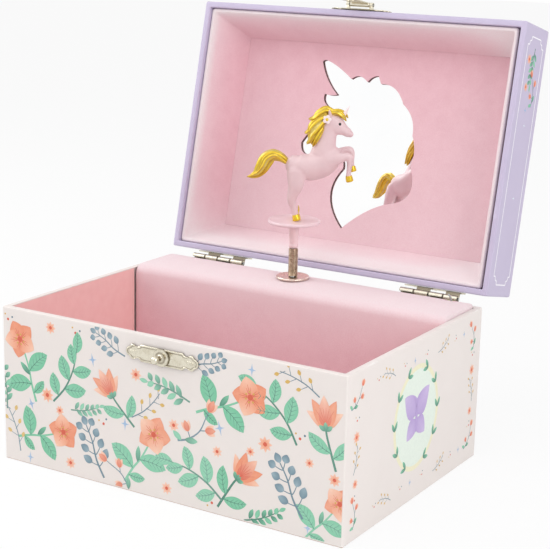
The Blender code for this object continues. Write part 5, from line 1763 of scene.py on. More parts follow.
@dataclass
class Unicorn:
    """The rearing unicorn, in hundredths of its height.

    The columns of a chain are forward, to the left, up, half thickness and half width.
    """

    foot: Row = (POST_X, POST_Y, 89.0)
    unit: float = 0.469
    facing: float = 31.4
    voxel: float = 0.8
    trunk: Chain = (
        (-1.8, 0, 48.6, 8.4, 7.0), (1.2, 0, 47.2, 10.6, 8.8), (5.5, 0, 46.6, 10.9, 9.6),
        (13, 0, 46.2, 11.8, 9.6), (22, 0, 49.2, 12.0, 9.4), (29, 0, 53.8, 10.8, 8.6), (34, 0, 57.6, 7.6, 6.4),
    )
    neck: Chain = (
        (23.5, 0, 57.5, 11.4, 7.6), (25.0, 0, 66, 9.6, 6.3), (27.0, 0, 75, 7.8, 5.3),
        (29.2, 0, 83, 6.7, 4.9), (31, 0, 88, 6.0, 4.6),
    )
    head: Chain = (
        (28.6, 0, 87.4, 6.2, 5.0), (32.6, 0, 84.9, 7.4, 5.6), (37.0, 0, 82, 6.2, 4.9),
        (41.0, 0, 79, 4.6, 4.0), (44.6, 0, 76.6, 3.9, 3.6), (46.4, 0, 75.6, 3.0, 2.9),
    )
    cheek: Chain = ((32.0, 0, 81.6, 5.5, 5.4), (34.4, 0, 79.6, 4.5, 4.7), (38, 0, 77.6, 3.0, 3.5))
    ear: Chain = ((28.4, 4.0, 91.5, 1.7, 2.0), (28.0, 4.7, 94.4, 1.5, 1.9), (27.4, 5.3, 97.2, 0.5, 0.6))
    hind_leg: Chain = (
        (0.8, 4.8, 43, 8.4, 5.4), (0.9, 5.6, 36, 7.8, 5.0), (0.5, 5.7, 30, 6.6, 4.5),
        (-1.4, 5.4, 24, 5.0, 3.7), (-2.6, 4.9, 18, 4.1, 3.2), (-1.6, 4.5, 13.6, 3.4, 2.8),
        (-0.1, 4.1, 9, 3.0, 2.6), (0.6, 3.8, 6.4, 3.1, 2.7), (1.0, 3.7, 4.2, 2.6, 2.5),
    )
    near_foreleg: Chain = (
        (27, -4.8, 51.5, 6.8, 4.2), (33.5, -5.4, 54, 5.4, 3.7), (40, -5.4, 56.2, 4.1, 3.1),
        (45, -5.1, 57, 3.5, 3.0), (46.6, -4.9, 54, 2.9, 2.7), (46.2, -4.7, 47.5, 2.3, 2.1),
        (45.8, -4.6, 42.2, 2.2, 2.1), (46.0, -4.5, 39.6, 2.5, 2.4),
    )
    far_foreleg: Chain = (
        (28, 4.8, 53.5, 6.4, 4.0), (35, 5.4, 57, 5.0, 3.5), (42, 5.4, 60, 3.9, 3.0),
        (46.6, 5.2, 61, 3.4, 2.9), (48.4, 5.0, 58, 2.8, 2.6), (48.6, 4.8, 52, 2.2, 2.1),
        (48.8, 4.6, 48.8, 2.2, 2.1), (49.0, 4.5, 46.6, 2.4, 2.3),
    )
    hind_hoof: Chain = (
        (0.9, 3.7, 5.2, 2.75, 2.6), (1.3, 3.7, 3.6, 3.1, 2.9), (2.0, 3.7, 1.2, 3.5, 3.2),
        (2.3, 3.7, 0.0, 3.6, 3.2),
    )
    near_hoof: Chain = (
        (46.0, -4.5, 40.4, 2.7, 2.55), (46.3, -4.4, 38.6, 3.0, 2.8), (46.8, -4.3, 36.4, 3.2, 3.0),
        (47.1, -4.2, 35.2, 3.0, 2.8),
    )
    far_hoof: Chain = (
        (49.0, 4.5, 47.4, 2.6, 2.5), (49.3, 4.4, 45.8, 2.9, 2.7), (49.8, 4.3, 43.6, 3.1, 2.9),
        (50.1, 4.2, 42.4, 2.9, 2.7),
    )
    tuft: Chain = ((2.4, -1.2, 4.6, 0.9, 0.8), (3.8, -1.0, 8.6, 0.7, 0.6), (3.4, -1.0, 12.6, 0.25, 0.25))
    horn: Chain = ((38.8, 0, 89.6, 2.2, 2.2), (41.8, 0, 94.6, 1.45, 1.45), (44.8, 0, 99.6, 0.35, 0.35))
    eye: Row = (36.8, 4.1, 84.6)
    flower: Row = (25.8, -5.6, 88.6)

    def place(self) -> Matrix:
        """Returns where the figure stands, from its own hundredths to millimetres."""
        turn = Matrix.Rotation(math.radians(self.facing), 4, "Z")
        return Matrix.Translation(self.foot) @ turn @ Matrix.Scale(self.unit, 4)

    def build(self) -> None:
        """Makes the body and all that is painted or set on it."""
        self.body()
        self.hooves()
        self.horn_piece()
        self.eyes()
        self.bloom()
        self.locks("mane_locks", self.mane(), "unicorn_mane", 5)
        self.locks("tail_locks", self.tail(), "unicorn_tail", 6)

    def body(self) -> None:
        """Melts trunk, neck, head and legs into one moulding, with nostrils, mouth and eyes pressed in."""
        flesh = Draft()
        chains = [self.trunk, self.neck, self.head, self.cheek, self.near_foreleg, self.far_foreleg]
        for chain in (self.ear, self.hind_leg):
            chains += [chain, mirrored(chain)]
        for chain in chains:
            flesh.tube(smooth_chain(chain, 5), 24, LEFT)
        skin = melt(flesh, self.voxel, 9)
        dents = [((46.9, side * 2.1, 77.6), 1.3, 0.7) for side in (-1, 1)]
        for t in range(7):
            for side in (-1, 1):
                dents.append(((47.0 - 0.85 * t, side * (2.0 + 0.28 * t), 74.0 + 0.12 * t), 0.9, 0.35))
        for side in (-1, 1):
            dents.append(((self.eye[0], side * 4.8, self.eye[2]), 1.9, 0.45))
        for spot, reach, depth in dents:
            middle = Vector(spot)
            for vert in skin.bm.verts:
                gap = (vert.co - middle).length
                if gap < reach * 2:
                    vert.co -= vert.normal * (depth * math.exp(-(gap / reach) ** 2 * 2))
        skin.paint(skin.bm.verts, FIGURE_PINK.colour)
        publish(skin, "unicorn_moulding", [FIGURE_PINK], "figure", ["unicorn_body"], self.place(), 80.0)

    def hooves(self) -> None:
        """Makes the four gold hooves and the tuft on one hind heel."""
        draft = Draft()
        for chain in (mirrored(self.hind_hoof), self.hind_hoof, self.near_hoof, self.far_hoof):
            draft.tube(smooth_chain(chain, 3), 28, LEFT, round_ends=False)
        draft.tube(smooth_chain(self.tuft, 4), 12, LEFT)
        draft.soften(0.35, 50.0)
        draft.paint(draft.bm.verts, GOLD_PAINT.colour)
        publish(draft, "gold_hooves", [GOLD_PAINT], "figure", (), self.place(), 45.0)

    def horn_piece(self) -> None:
        """Twists the pale horn."""

        def twist(angle: float, share: float) -> float:
            """Winds a groove round the horn."""
            return 1 + 0.09 * math.cos(2 * angle - share * 26)

        draft = Draft()
        draft.tube(smooth_chain(self.horn, 14), 28, LEFT, twist)
        draft.paint(draft.bm.verts, HORN_PINK)
        publish(draft, "unicorn_horn", [FIGURE_PINK], "figure", (), self.place(), 60.0)

    def dome(self, wide: float, tall: float, start: int) -> list[Row]:
        """Draws a dome's profile, from an angle below its widest up to its top."""
        turns = [math.radians(a) for a in range(start, 91, 15)]
        return [(wide * math.cos(a), tall * math.sin(a)) for a in turns]

    def eyes(self) -> None:
        """Sets the two black eyes."""
        draft = Draft()
        for side in (-1, 1):
            spot = Matrix.Translation((self.eye[0], side * self.eye[1], self.eye[2]))
            turn = spot @ Matrix.Rotation(math.radians(-90 * side), 4, "X")
            draft.lathe(self.dome(1.45, 0.95, -60), 28, turn)
        draft.paint(draft.bm.verts, EYE_BLACK.colour)
        publish(draft, "unicorn_eyes", [EYE_BLACK], "figure", (), self.place(), 80.0)

    def bloom(self) -> None:
        """Sets the pale five-petalled flower by the near ear."""
        draft = Draft()
        face = Matrix.Translation(self.flower) @ Matrix.Rotation(math.radians(90), 4, "X")
        petal = self.dome(1.75, 0.65, -30)
        middle = [(radius, height + 0.6) for radius, height in self.dome(1.3, 0.75, -30)]
        for k in range(5):
            turn = face @ Matrix.Rotation(2 * math.pi * k / 5, 4, "Z") @ Matrix.Translation((2.2, 0.0, 0.0))
            for ring in draft.lathe(petal, 20, turn):
                draft.paint(ring, PETAL_PINK)
        for ring in draft.lathe(middle, 20, face):
            draft.paint(ring, STAMEN_GOLD)
        publish(draft, "ear_flower", [FIGURE_PINK], "figure", (), self.place(), 80.0)

    def mane(self) -> list[Chain]:
        """Lists the mane's locks: near side, crest, forelock and far side.

        Returns:
            A chain for each lock.
        """
        near = [
            ((30.5, -1.6, 95.0, 2.0, 2.4), (25, -2.6, 96.4, 2.7, 2.8), (19.4, -3.2, 93.0, 2.7, 2.8),
             (15.4, -3.4, 88.8, 2.0, 2.2), (10.6, -3.4, 88.0, 0.4, 0.4)),
            ((25, -2.4, 92.0, 2.4, 2.6), (19, -3.6, 88.0, 3.1, 3.0), (14, -3.8, 82.6, 2.9, 2.8),
             (11, -3.8, 77.6, 2.0, 2.0), (7.4, -3.6, 76.0, 0.4, 0.4)),
            ((22.5, -3.0, 86.5, 2.4, 2.6), (18.2, -4.2, 80.4, 3.1, 3.0), (14, -4.4, 74.6, 2.8, 2.8),
             (11.8, -4.2, 69.4, 1.8, 1.9), (9.2, -4.0, 67.0, 0.4, 0.4)),
            ((21.5, -3.4, 80.5, 2.2, 2.4), (18.2, -4.6, 74.4, 2.8, 2.8), (16, -4.6, 69.0, 2.1, 2.2),
             (14.4, -4.4, 65.0, 0.5, 0.5)),
        ]
        crest = [
            ((30, 0, 95, 2.6, 3.0), (23.4, 0.2, 94.4, 3.0, 3.3), (17.4, 0.4, 87, 3.4, 3.6),
             (13.6, 0.4, 78, 3.2, 3.4), (13.0, 0.4, 70, 2.2, 2.4), (15.0, 0.4, 65, 0.4, 0.4)),
            ((29.5, -0.8, 94.0, 2.4, 3.2), (34.6, -1.8, 94.4, 2.5, 2.8), (39.4, -2.4, 91.4, 2.0, 2.1),
             (42.2, -2.6, 87.4, 0.5, 0.5)),
            ((30, 1.8, 94.0, 2.2, 2.8), (35.4, 2.2, 94.8, 2.3, 2.6), (40.8, 1.8, 93.0, 1.8, 1.9),
             (43.8, 1.4, 89.6, 0.5, 0.5)),
        ]
        return near + crest + [mirrored(chain) for chain in near]

    def tail(self) -> list[Chain]:
        """Lists the tail's locks: the full one and one along each side.

        Returns:
            A chain for each lock.
        """
        main = (
            (-7.4, 0, 50.5, 2.4, 2.6), (-12.8, 0, 54.4, 3.6, 3.4), (-19.6, 0, 56.0, 4.8, 4.0),
            (-25.2, 0, 51.8, 6.0, 4.6), (-29.0, 0, 45.2, 5.8, 4.4), (-32.6, 0, 40.2, 4.2, 3.2),
            (-37, 0, 37.6, 2.2, 1.9), (-41.4, 0, 36.8, 0.4, 0.4),
        )
        side = (
            (-12, -1.8, 53.6, 1.6, 1.6), (-18.6, -3.2, 57.0, 2.6, 2.2), (-24.8, -3.8, 53.4, 3.0, 2.5),
            (-28.2, -3.6, 46.4, 2.9, 2.4), (-32.4, -2.6, 40.6, 2.0, 1.7), (-38.6, -1.6, 38.0, 0.4, 0.4),
        )
        return [main, side, mirrored(side)]

    def ridge(self, lobes: int, index: int, angle: float, share: float) -> float:
        """Returns how high a lock's ridges stand, from -1 to 1, with a slow twist along it."""
        return math.cos(lobes * (angle + index * 1.3 + share * 0.9))

    def locks(self, name: str, chains: Sequence[Chain], node: str, lobes: int) -> None:
        """Makes grooved, painted locks of hair, with painted shade and painted highlights in their grooves.

        Args:
            name: The piece's name.
            chains: A chain for each lock.
            node: The CAD node that they stand for.
            lobes: Ridges round each lock.
        """
        draft = Draft()
        sides = lobes * 6
        for index, chain in enumerate(chains):

            def ridges(angle: float, share: float, index: int = index) -> float:
                """Swells a lock at its ridges."""
                return 1 + 0.13 * self.ridge(lobes, index, angle, share)

            rings = draft.tube(smooth_chain(chain, 7), sides, LEFT, ridges)
            count = len(rings)
            for i, ring in enumerate(rings):
                for k, vert in enumerate(ring):
                    a = 2 * math.pi * k / sides
                    # Ridges stay gold; the grooves get painted shade on two sides of each lock and a painted
                    # silver highlight on the other two.
                    ridge = 0.5 + 0.5 * self.ridge(lobes, index, a, i / (count - 1))
                    streak = 0.5 + 0.5 * math.cos(2 * a + index * 2.1)
                    groove = between(GOLD_SHADE, SILVER_HIGHLIGHT, streak)
                    draft.paint([vert], between(groove, GOLD_PAINT.colour, min(1.0, 0.25 + ridge)))
        publish(draft, name, [GOLD_PAINT], "figure", [node], self.place(), 80.0)


@dataclass
class BackFittings:
    """The winding key and the two screws on the back, and the hidden movement's finishes."""

    hub_y: float = 56.65
    wing_x: float = 6.3
    hole_x: float = 6.9
    wing_steps: int = 40
    screw_y: float = 54.95
    slot_half: float = 0.3

    def build(self) -> None:
        """Makes the key and the screws, and dresses what stays."""
        self.key()
        for side, (x, z) in SCREWS.items():
            self.screw(side, x, z)
        steel = ("winding_arbor", "drive_spindle", "stop_wire", "movement_bedplate", "movement_comb")
        brass = ("pinned_cylinder", "spring_barrel", "governor_housing", "stop_guide")
        for node in steel:
            dress(node, STEEL)
        for node in brass:
            dress(node, BRASS)

    def key(self) -> None:
        """Makes the butterfly key: a stepped hub with a socket, and two pierced wings."""
        draft = Draft()
        place = along_y(ARBOR[0], self.hub_y, ARBOR[1])
        profile = (
            (1.6, 0.0), (2.75, 0.0), (3.0, 0.25), (3.0, 1.1), (2.7, 1.4), (2.7, 3.8), (2.95, 4.2),
            (2.95, 5.6), (2.6, 6.0), (0.0, 6.0), (0.0, 4.4), (1.6, 4.2),
        )
        draft.lathe(profile, 48, place)
        for sign in (-1, 1):
            outer = []
            inner = []
            for k in range(self.wing_steps):
                a = 2 * math.pi * k / self.wing_steps
                across = self.wing_x + 4.6 * math.cos(a)
                outer.append((sign * across, 4.9 * math.sin(a) * (0.75 + 0.25 * (across / 10.9))))
                inner.append((sign * (self.hole_x + 2.1 * math.cos(a)), 2.3 * math.sin(a)))
            wing = ((4.75, 0.94), (4.95, 1.0), (5.85, 1.0), (6.05, 0.94))
            hole = ((6.05, 1.08), (5.85, 1.0), (4.95, 1.0), (4.75, 1.08))
            rings = []
            for line, levels, x in ((outer, wing, self.wing_x), (inner, hole, self.hole_x)):
                middle = sign * x
                for height, grow in levels:
                    rings.append([
                        place @ Vector((middle + (u - middle) * grow, v * grow, height)) for u, v in line
                    ])
            draft.loft(rings, cyclic=True)
        publish(draft, "winding_key_stamped", [NICKEL], "key", ["winding_key"], None, 40.0)

    def screw(self, side: str, x: float, z: float) -> None:
        """Makes a domed, slotted screw.

        Args:
            side: Which one it is.
            x: Its place, across.
            z: Its height.
        """
        draft = Draft()
        profile = (
            (0.0, -4.0), (1.2, -4.0), (1.2, 0.0), (2.75, 0.0), (2.8, 0.2), (2.6, 0.55), (1.9, 0.8),
            (0.9, 0.89), (0.0, 0.9),
        )
        draft.lathe(profile, 40, along_y(x, self.screw_y, z))
        name = f"movement_screw_{side}"
        item = publish(draft, f"{name}_slotted", [STEEL], "base", [name], None, 40.0)
        cutter = Draft()
        low = (x - 3.2, self.screw_y + 0.45, z - self.slot_half)
        high = (x + 3.2, self.screw_y + 2.0, z + self.slot_half)
        cutter.block(low, high)
        carve(item, cutter)


class Ink(Enum):
    """Colours of the printed motifs."""

    CORAL = (234, 146, 112)
    RUST = (216, 98, 74)
    PEACH = (246, 198, 172)
    MINT = (120, 194, 158)
    PINE = (66, 126, 106)
    SLATE = (95, 125, 140)
    FOG = (140, 164, 176)
    MIST = (150, 180, 215)
    OCHRE = (214, 172, 84)
    CREAM = (227, 237, 226)
    LIME = (236, 231, 200)
    LILAC = (199, 179, 222)
    VIOLET = (176, 152, 207)
    WHITE = (247, 244, 250)


MINTS = (Ink.MINT, Ink.MINT)
LEAFY = (Ink.PINE, Ink.MINT)
CORALS = (Ink.CORAL, Ink.PEACH)
VIOLETS = (Ink.VIOLET, Ink.LILAC)


class Motif(Enum):
    """Motifs that a sheet can carry."""

    SPRAY = "spray"
    SPRIG = "sprig"
    COIN = "coin"
    BERRY = "berry"
    BUD = "bud"
    LILY = "lily"
    FROND = "frond"
    DAISY = "daisy"
    SPARKLE = "sparkle"
    DOTS = "dots"


SPRAY, SPRIG, COIN, BERRY, BUD, LILY, FROND, DAISY, SPARKLE, DOTS = Motif
Toss = tuple[Motif, float, float, float, float]


@dataclass
class Sheet:
    """One printed face: motifs are drawn flat in its own millimetres, across and up, and cut to its edges."""

    left: float
    right: float
    low: float
    high: float
    draft: Draft = field(default_factory=Draft)
    strokes: int = 0

    def height(self, layer: int) -> float:
        """Returns the height of the next stroke in a layer, a hair over the one before it."""
        self.strokes += 1
        return (layer + 1) * INK_LIFT + self.strokes % 8 * INK_STEP

    def publish(self, name: str, finish: Finish, body: str, face: Matrix) -> None:
        """Cuts the motifs to the sheet, gives them a film's thickness and lays them on a face.

        Args:
            name: The piece's name.
            finish: The ink's finish.
            body: The body that it rides on.
            face: Where the sheet goes: across, up and out.
        """
        for spot, way in (
            ((self.left, 0, 0), (-1, 0, 0)),
            ((self.right, 0, 0), (1, 0, 0)),
            ((0, self.low, 0), (0, -1, 0)),
            ((0, self.high, 0), (0, 1, 0)),
        ):
            bm = self.draft.bm
            geometry = bm.verts[:] + bm.edges[:] + bm.faces[:]
            bmesh.ops.bisect_plane(bm, geom=geometry, plane_co=spot, plane_no=way, clear_outer=True)
        self.draft.bm.normal_update()
        for piece in self.draft.bm.faces:
            if piece.normal.z < 0:
                piece.normal_flip()
        mesh = bpy.data.meshes.new(name)
        self.draft.bm.to_mesh(mesh)
        self.draft.bm.free()
        mesh.transform(Matrix.Scale(METRES, 4) @ face)
        mesh.materials.append(finish.material())
        item = add_item(name, mesh)
        film = item.modifiers.new("Film", "SOLIDIFY")
        film.thickness = INK_LIFT * METRES
        film.offset = -1.0
        bake(item)
        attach(item, body)
        LOG.info("%s on %s", name, body)


@dataclass
class Pen:
    """Draws motifs on a sheet, at a place, a turn and a size."""

    sheet: Sheet
    across: float
    up: float
    size: float = 1.0
    turn: float = 0.0
    layer: int = 1
    pale: float = 0.0

    def draw(self, motif: Motif) -> None:
        """Draws a motif by its name."""
        getattr(self, motif.value)()

    def spot(self, x: float, y: float) -> Vector:
        """Places a point of the motif.

        Args:
            x: Across, in the motif's own frame.
            y: Up, in that frame.

        Returns:
            The point on the sheet.
        """
        a = math.radians(self.turn)
        u = self.across + self.size * (x * math.cos(a) - y * math.sin(a))
        v = self.up + self.size * (x * math.sin(a) + y * math.cos(a))
        return Vector((u, v, 0.0))

    def ribbon(self, rows: Sequence[Row], colours: Sequence[Colour], lift: int) -> None:
        """Draws a band along a line.

        Args:
            rows: Place and half width at each point.
            colours: The ink at each point.
            lift: Its layer above the motif's own.
        """
        draft = self.sheet.draft
        line = [self.spot(row[0], row[1]) for row in rows]
        height = self.sheet.height(self.layer + lift)
        bands = []
        for i, (here, row, colour) in enumerate(zip(line, rows, colours)):
            along = line[min(i + 1, len(line) - 1)] - line[max(i - 1, 0)]
            across = Vector((-along.y, along.x, 0.0)).normalized() * (row[2] * self.size)
            band = []
            for share in (-1, 0, 1):
                vert = draft.bm.verts.new(here + across * share + Vector((0.0, 0.0, height)))
                pale = self.pale if share else self.pale + 0.1
                vert[draft.ink] = linear(between(colour, (255, 255, 255), pale))
                band.append(vert)
            bands.append(band)
        for lower, upper in zip(bands, bands[1:]):
            for k in range(2):
                draft.bm.faces.new((lower[k], lower[k + 1], upper[k + 1], upper[k]))

    def stroke(self, points: Sequence[Row], wide: float, thin: float, ink: Ink, lift: int = 0) -> None:
        """Draws a tapering line.

        Args:
            points: The points that it goes through.
            wide: Its half width at its start.
            thin: Its half width at its end.
            ink: Its ink.
            lift: Its layer.
        """
        line = smooth_chain(points, 6)
        last = len(line) - 1
        rows = [(x, y, wide + (thin - wide) * i / last) for i, (x, y) in enumerate(line)]
        self.ribbon(rows, [ink.value] * len(rows), lift)

    def petal(
        self, base: Row, angle: float, length: float, wide: float, inks: tuple[Ink, Ink], lift: int = 0,
        blunt: float = 0.62, bend: float = 0.0,
    ) -> None:
        """Draws a petal or a plain leaf.

        Args:
            base: Where it starts.
            angle: Its direction.
            length: Its length.
            wide: Its half width.
            inks: Its inks at the base and the tip.
            lift: Its layer.
            blunt: Where it is widest, as a power of the length.
            bend: How far it curves to one side, in degrees.
        """
        steps = 9
        rows = []
        colours = []
        for i in range(steps + 1):
            t = i / steps
            width = max(0.02, wide * math.sin(math.pi * t ** (1 / blunt * 0.62)) ** 0.8)
            rows.append((*polar(base, angle + bend * t, length * t), width))
            colours.append(between(inks[0].value, inks[1].value, t))
        self.ribbon(rows, colours, lift)

    def leaf(self, base: Row, angle: float, length: float, wide: float, bend: float = 12.0) -> None:
        """Draws a mint leaf with a dark midrib and side veins.

        Args:
            base: Where it starts.
            angle: Its direction.
            length: Its length.
            wide: Its half width.
            bend: How far it curves to one side, in degrees.
        """
        self.petal(base, angle, length, wide, MINTS, 0, bend=bend)
        shares = [i / 6 * 0.94 for i in range(7)]
        rib = [polar(base, angle + bend * t, length * t) for t in shares]
        self.stroke(rib, 0.16, 0.06, Ink.PINE, 1)
        for i in range(1, 6):
            for side in (-1, 1):
                reach = wide * 0.95 * math.sin(math.pi * i / 6.6)
                stop = polar(rib[i], angle + bend * i / 6 + side * 48, reach)
                self.stroke((rib[i], stop), 0.09, 0.04, Ink.PINE, 1)

    def disc(self, at: Row, radius: float, ink: Ink, lift: int = 0, oval: float = 1.0) -> None:
        """Draws a filled round or oval spot.

        Args:
            at: Its middle.
            radius: Its half width.
            ink: Its ink.
            lift: Its layer.
            oval: Its height as a share of its width.
        """
        sides = max(10, int(radius * 6))
        height = Vector((0.0, 0.0, self.sheet.height(self.layer + lift)))
        draft = self.sheet.draft
        ring = []
        for k in range(sides):
            a = 2 * math.pi * k / sides
            spot = self.spot(at[0] + radius * math.cos(a), at[1] + radius * oval * math.sin(a))
            ring.append(draft.bm.verts.new(spot + height))
        draft.paint(ring, ink.value)
        draft.bm.faces.new(ring)

    def blossom(self, at: Row, radius: float, lift: int = 2) -> None:
        """Draws an open five-petalled blossom with streaked petals and a stamen ring.

        Args:
            at: Its middle.
            radius: Its radius.
            lift: Its layer.
        """
        angles = [90 + 72 * k for k in range(5)]
        for k, angle in enumerate(angles):
            inks = (Ink.CORAL, Ink.PEACH if k % 2 else Ink.CORAL)
            self.petal(at, angle, radius, radius * 0.5, inks, lift + k % 2, 0.85)
        for angle in angles:
            for spread, reach in ((-14, 0.48), (0, 0.62), (14, 0.48)):
                streak = [polar(at, angle + spread, radius * share) for share in (0.16, reach)]
                self.stroke(streak, 0.16, 0.05, Ink.RUST, lift + 2)
        for k in range(7):
            self.disc(polar(at, 360 * k / 7, radius * 0.26), radius * 0.05, Ink.OCHRE, lift + 3)
        self.disc(at, radius * 0.15, Ink.RUST, lift + 3)

    def spray(self) -> None:
        """Draws a blossom on a leafy stem."""
        self.stroke(((-3.5, -16.0), (-2.2, -9.0), (-0.4, -3.0), (0.6, 4.0)), 0.5, 0.32, Ink.MINT)
        self.leaf((-2.2, -9.0), 152, 12.5, 3.5)
        self.leaf((-0.8, -4.2), 28, 12.0, 3.3, -14.0)
        self.leaf((-2.9, -12.4), 8, 7.5, 1.9)
        self.petal((-1.2, -5.6), 108, 6.5, 1.1, LEAFY)
        self.blossom((1.0, 8.5), 7.6)

    def lily(self) -> None:
        """Draws a side-on flower with fanned petals on a leafy stem."""
        self.stroke(((3.0, -16.0), (1.4, -9.0), (0.2, -3.0), (0.0, 0.0)), 0.5, 0.36, Ink.PINE)
        self.leaf((1.5, -9.4), 158, 11.5, 2.6, -18.0)
        self.leaf((2.0, -11.4), 28, 10.5, 2.5, 16.0)
        fan = ((132, 9.5, 2.0), (48, 9.5, 2.0), (111, 11.5, 2.5), (69, 11.5, 2.5), (90, 12.0, 2.7))
        for i, (angle, length, wide) in enumerate(fan):
            inks = (Ink.RUST, Ink.PEACH) if i == 4 else (Ink.CORAL, Ink.PEACH if i < 2 else Ink.CORAL)
            self.petal((0.0, 0.0), angle, length, wide, inks, 2 + i // 2, 0.9, (angle - 90) * 0.25)
        for spread in (-30, -15, -5, 5, 15, 30):
            self.stroke(((0.0, 1.0), polar((0.0, 0.0), 90 + spread, 7.5)), 0.15, 0.05, Ink.RUST, 5)
        for angle in (35, 90, 145):
            self.petal((0.0, -1.2), angle, 3.4, 0.9, LEAFY, 5)

    def frond(self) -> None:
        """Draws a branch of broad leaves."""
        self.stroke(((0.0, -16.0), (1.6, -7.0), (0.8, 2.0), (-1.6, 9.0)), 0.45, 0.24, Ink.PINE)
        leaves = (
            (0.6, -12.0, 150, 9.5, 2.6), (1.4, -7.5, 26, 11.0, 3.0), (1.4, -3.0, 154, 10.5, 2.9),
            (0.9, 1.5, 32, 9.5, 2.6), (0.2, 4.5, 146, 8.5, 2.3),
        )
        for x, y, angle, length, wide in leaves:
            self.leaf((x, y), angle, length, wide, 12.0 if angle < 90 else -12.0)
        self.leaf((-1.6, 9.0), 106, 9.0, 2.4)

    def sprig(self) -> None:
        """Draws a mint sprig with narrow paired leaves."""
        line = ((0.0, -11.0), (0.6, -4.0), (0.2, 3.0), (-1.2, 9.0))
        self.stroke(line, 0.36, 0.18, Ink.PINE)
        for i in range(5):
            y = -7.5 + 3.6 * i
            x = 0.5 * math.sin(0.25 * y + 1.5)
            for side in (-1, 1):
                inks = LEAFY if (i + side) % 3 else MINTS
                self.petal((x, y + 0.5 * side), 90 - side * 48, 5.4 - 0.45 * i, 1.15, inks, 1)
        self.petal((-1.2, 9.0), 100, 4.0, 0.9, MINTS, 1)

    def coin(self) -> None:
        """Draws a blue-grey branch with round leaves."""
        self.stroke(((0.0, -12.0), (-0.6, -5.0), (0.4, 2.0), (0.2, 8.0)), 0.42, 0.2, Ink.SLATE)
        for i in range(4):
            y = -7.5 + 4.3 * i
            for side in (-1, 1):
                tip = (side * (3.4 - 0.35 * i), y + 2.4)
                self.stroke(((0.0, y), (tip[0] * 0.5, y + 1.0), tip), 0.2, 0.14, Ink.SLATE)
                ink = (Ink.SLATE, Ink.FOG) if (i + side) % 2 else (Ink.FOG, Ink.SLATE)
                self.petal((tip[0] * 0.85, y + 2.0), 90 - side * 42, 4.4 - 0.4 * i, 1.55, ink, 1, 0.7)
        self.petal((0.2, 8.0), 92, 3.8, 1.4, (Ink.FOG, Ink.SLATE), 1, 0.7)

    def berry(self) -> None:
        """Draws a fine twig with ochre berries."""
        self.stroke(((0.0, -10.0), (1.0, -3.0), (0.4, 4.0), (-0.8, 9.0)), 0.26, 0.14, Ink.SLATE)
        for i in range(6):
            y = -6.5 + 2.7 * i
            side = -1 if i % 2 else 1
            stop = (side * 2.3 + 0.5, y + 1.8)
            self.stroke(((0.6, y), stop), 0.14, 0.1, Ink.SLATE)
            self.petal(stop, 90 - side * 40, 2.4, 0.75, (Ink.OCHRE, Ink.OCHRE), 1)

    def bud(self) -> None:
        """Draws an arching stem with three half-open buds."""
        self.stroke(((-5.0, -9.0), (-1.5, -5.5), (1.2, 0.5), (1.0, 7.0)), 0.42, 0.2, Ink.SLATE)
        places = (((1.0, 7.0), 92, 1.0), ((-0.9, -4.4), 140, 0.85), ((1.0, 0.8), 38, 0.9))
        for base, angle, grow in places:
            tip = polar(base, angle, 3.0 * grow)
            self.stroke((base, tip), 0.22, 0.18, Ink.SLATE)
            for spread, wide in ((-24, 1.2), (24, 1.2), (0, 1.5)):
                inks = CORALS if spread else (Ink.RUST, Ink.CORAL)
                self.petal(tip, angle + spread, 5.4 * grow, wide * grow, inks, 1 + (spread == 0), 0.7)
        self.petal((-2.6, -6.6), 30, 6.0, 1.3, LEAFY, 1)
        self.petal((-3.6, -7.8), 170, 5.0, 1.2, MINTS, 1)

    def daisy(self) -> None:
        """Draws a small eight-petalled daisy."""
        for k in range(8):
            self.petal((0.0, 0.0), 45 * k, 2.7, 0.62, CORALS, k % 2, 0.8)
        self.disc((0.0, 0.0), 0.75, Ink.RUST, 2)

    def sparkle(self) -> None:
        """Draws a four-pointed sparkle."""
        for k in range(4):
            reach = 2.3 if k % 2 else 1.7
            rows = []
            for t in (0, 0.3, 0.6, 1):
                rows.append((*polar((0.0, 0.0), 90 * k, reach * t), 0.5 * (1 - t) ** 1.6 + 0.02))
            self.ribbon(rows, [Ink.MIST.value] * len(rows), k % 2)

    def dots(self) -> None:
        """Draws three loose dots."""
        self.disc((0, 0), 0.55, Ink.RUST)
        self.disc((2.1, 1.1), 0.42, Ink.SLATE)
        self.disc((-1.4, 1.9), 0.38, Ink.OCHRE)


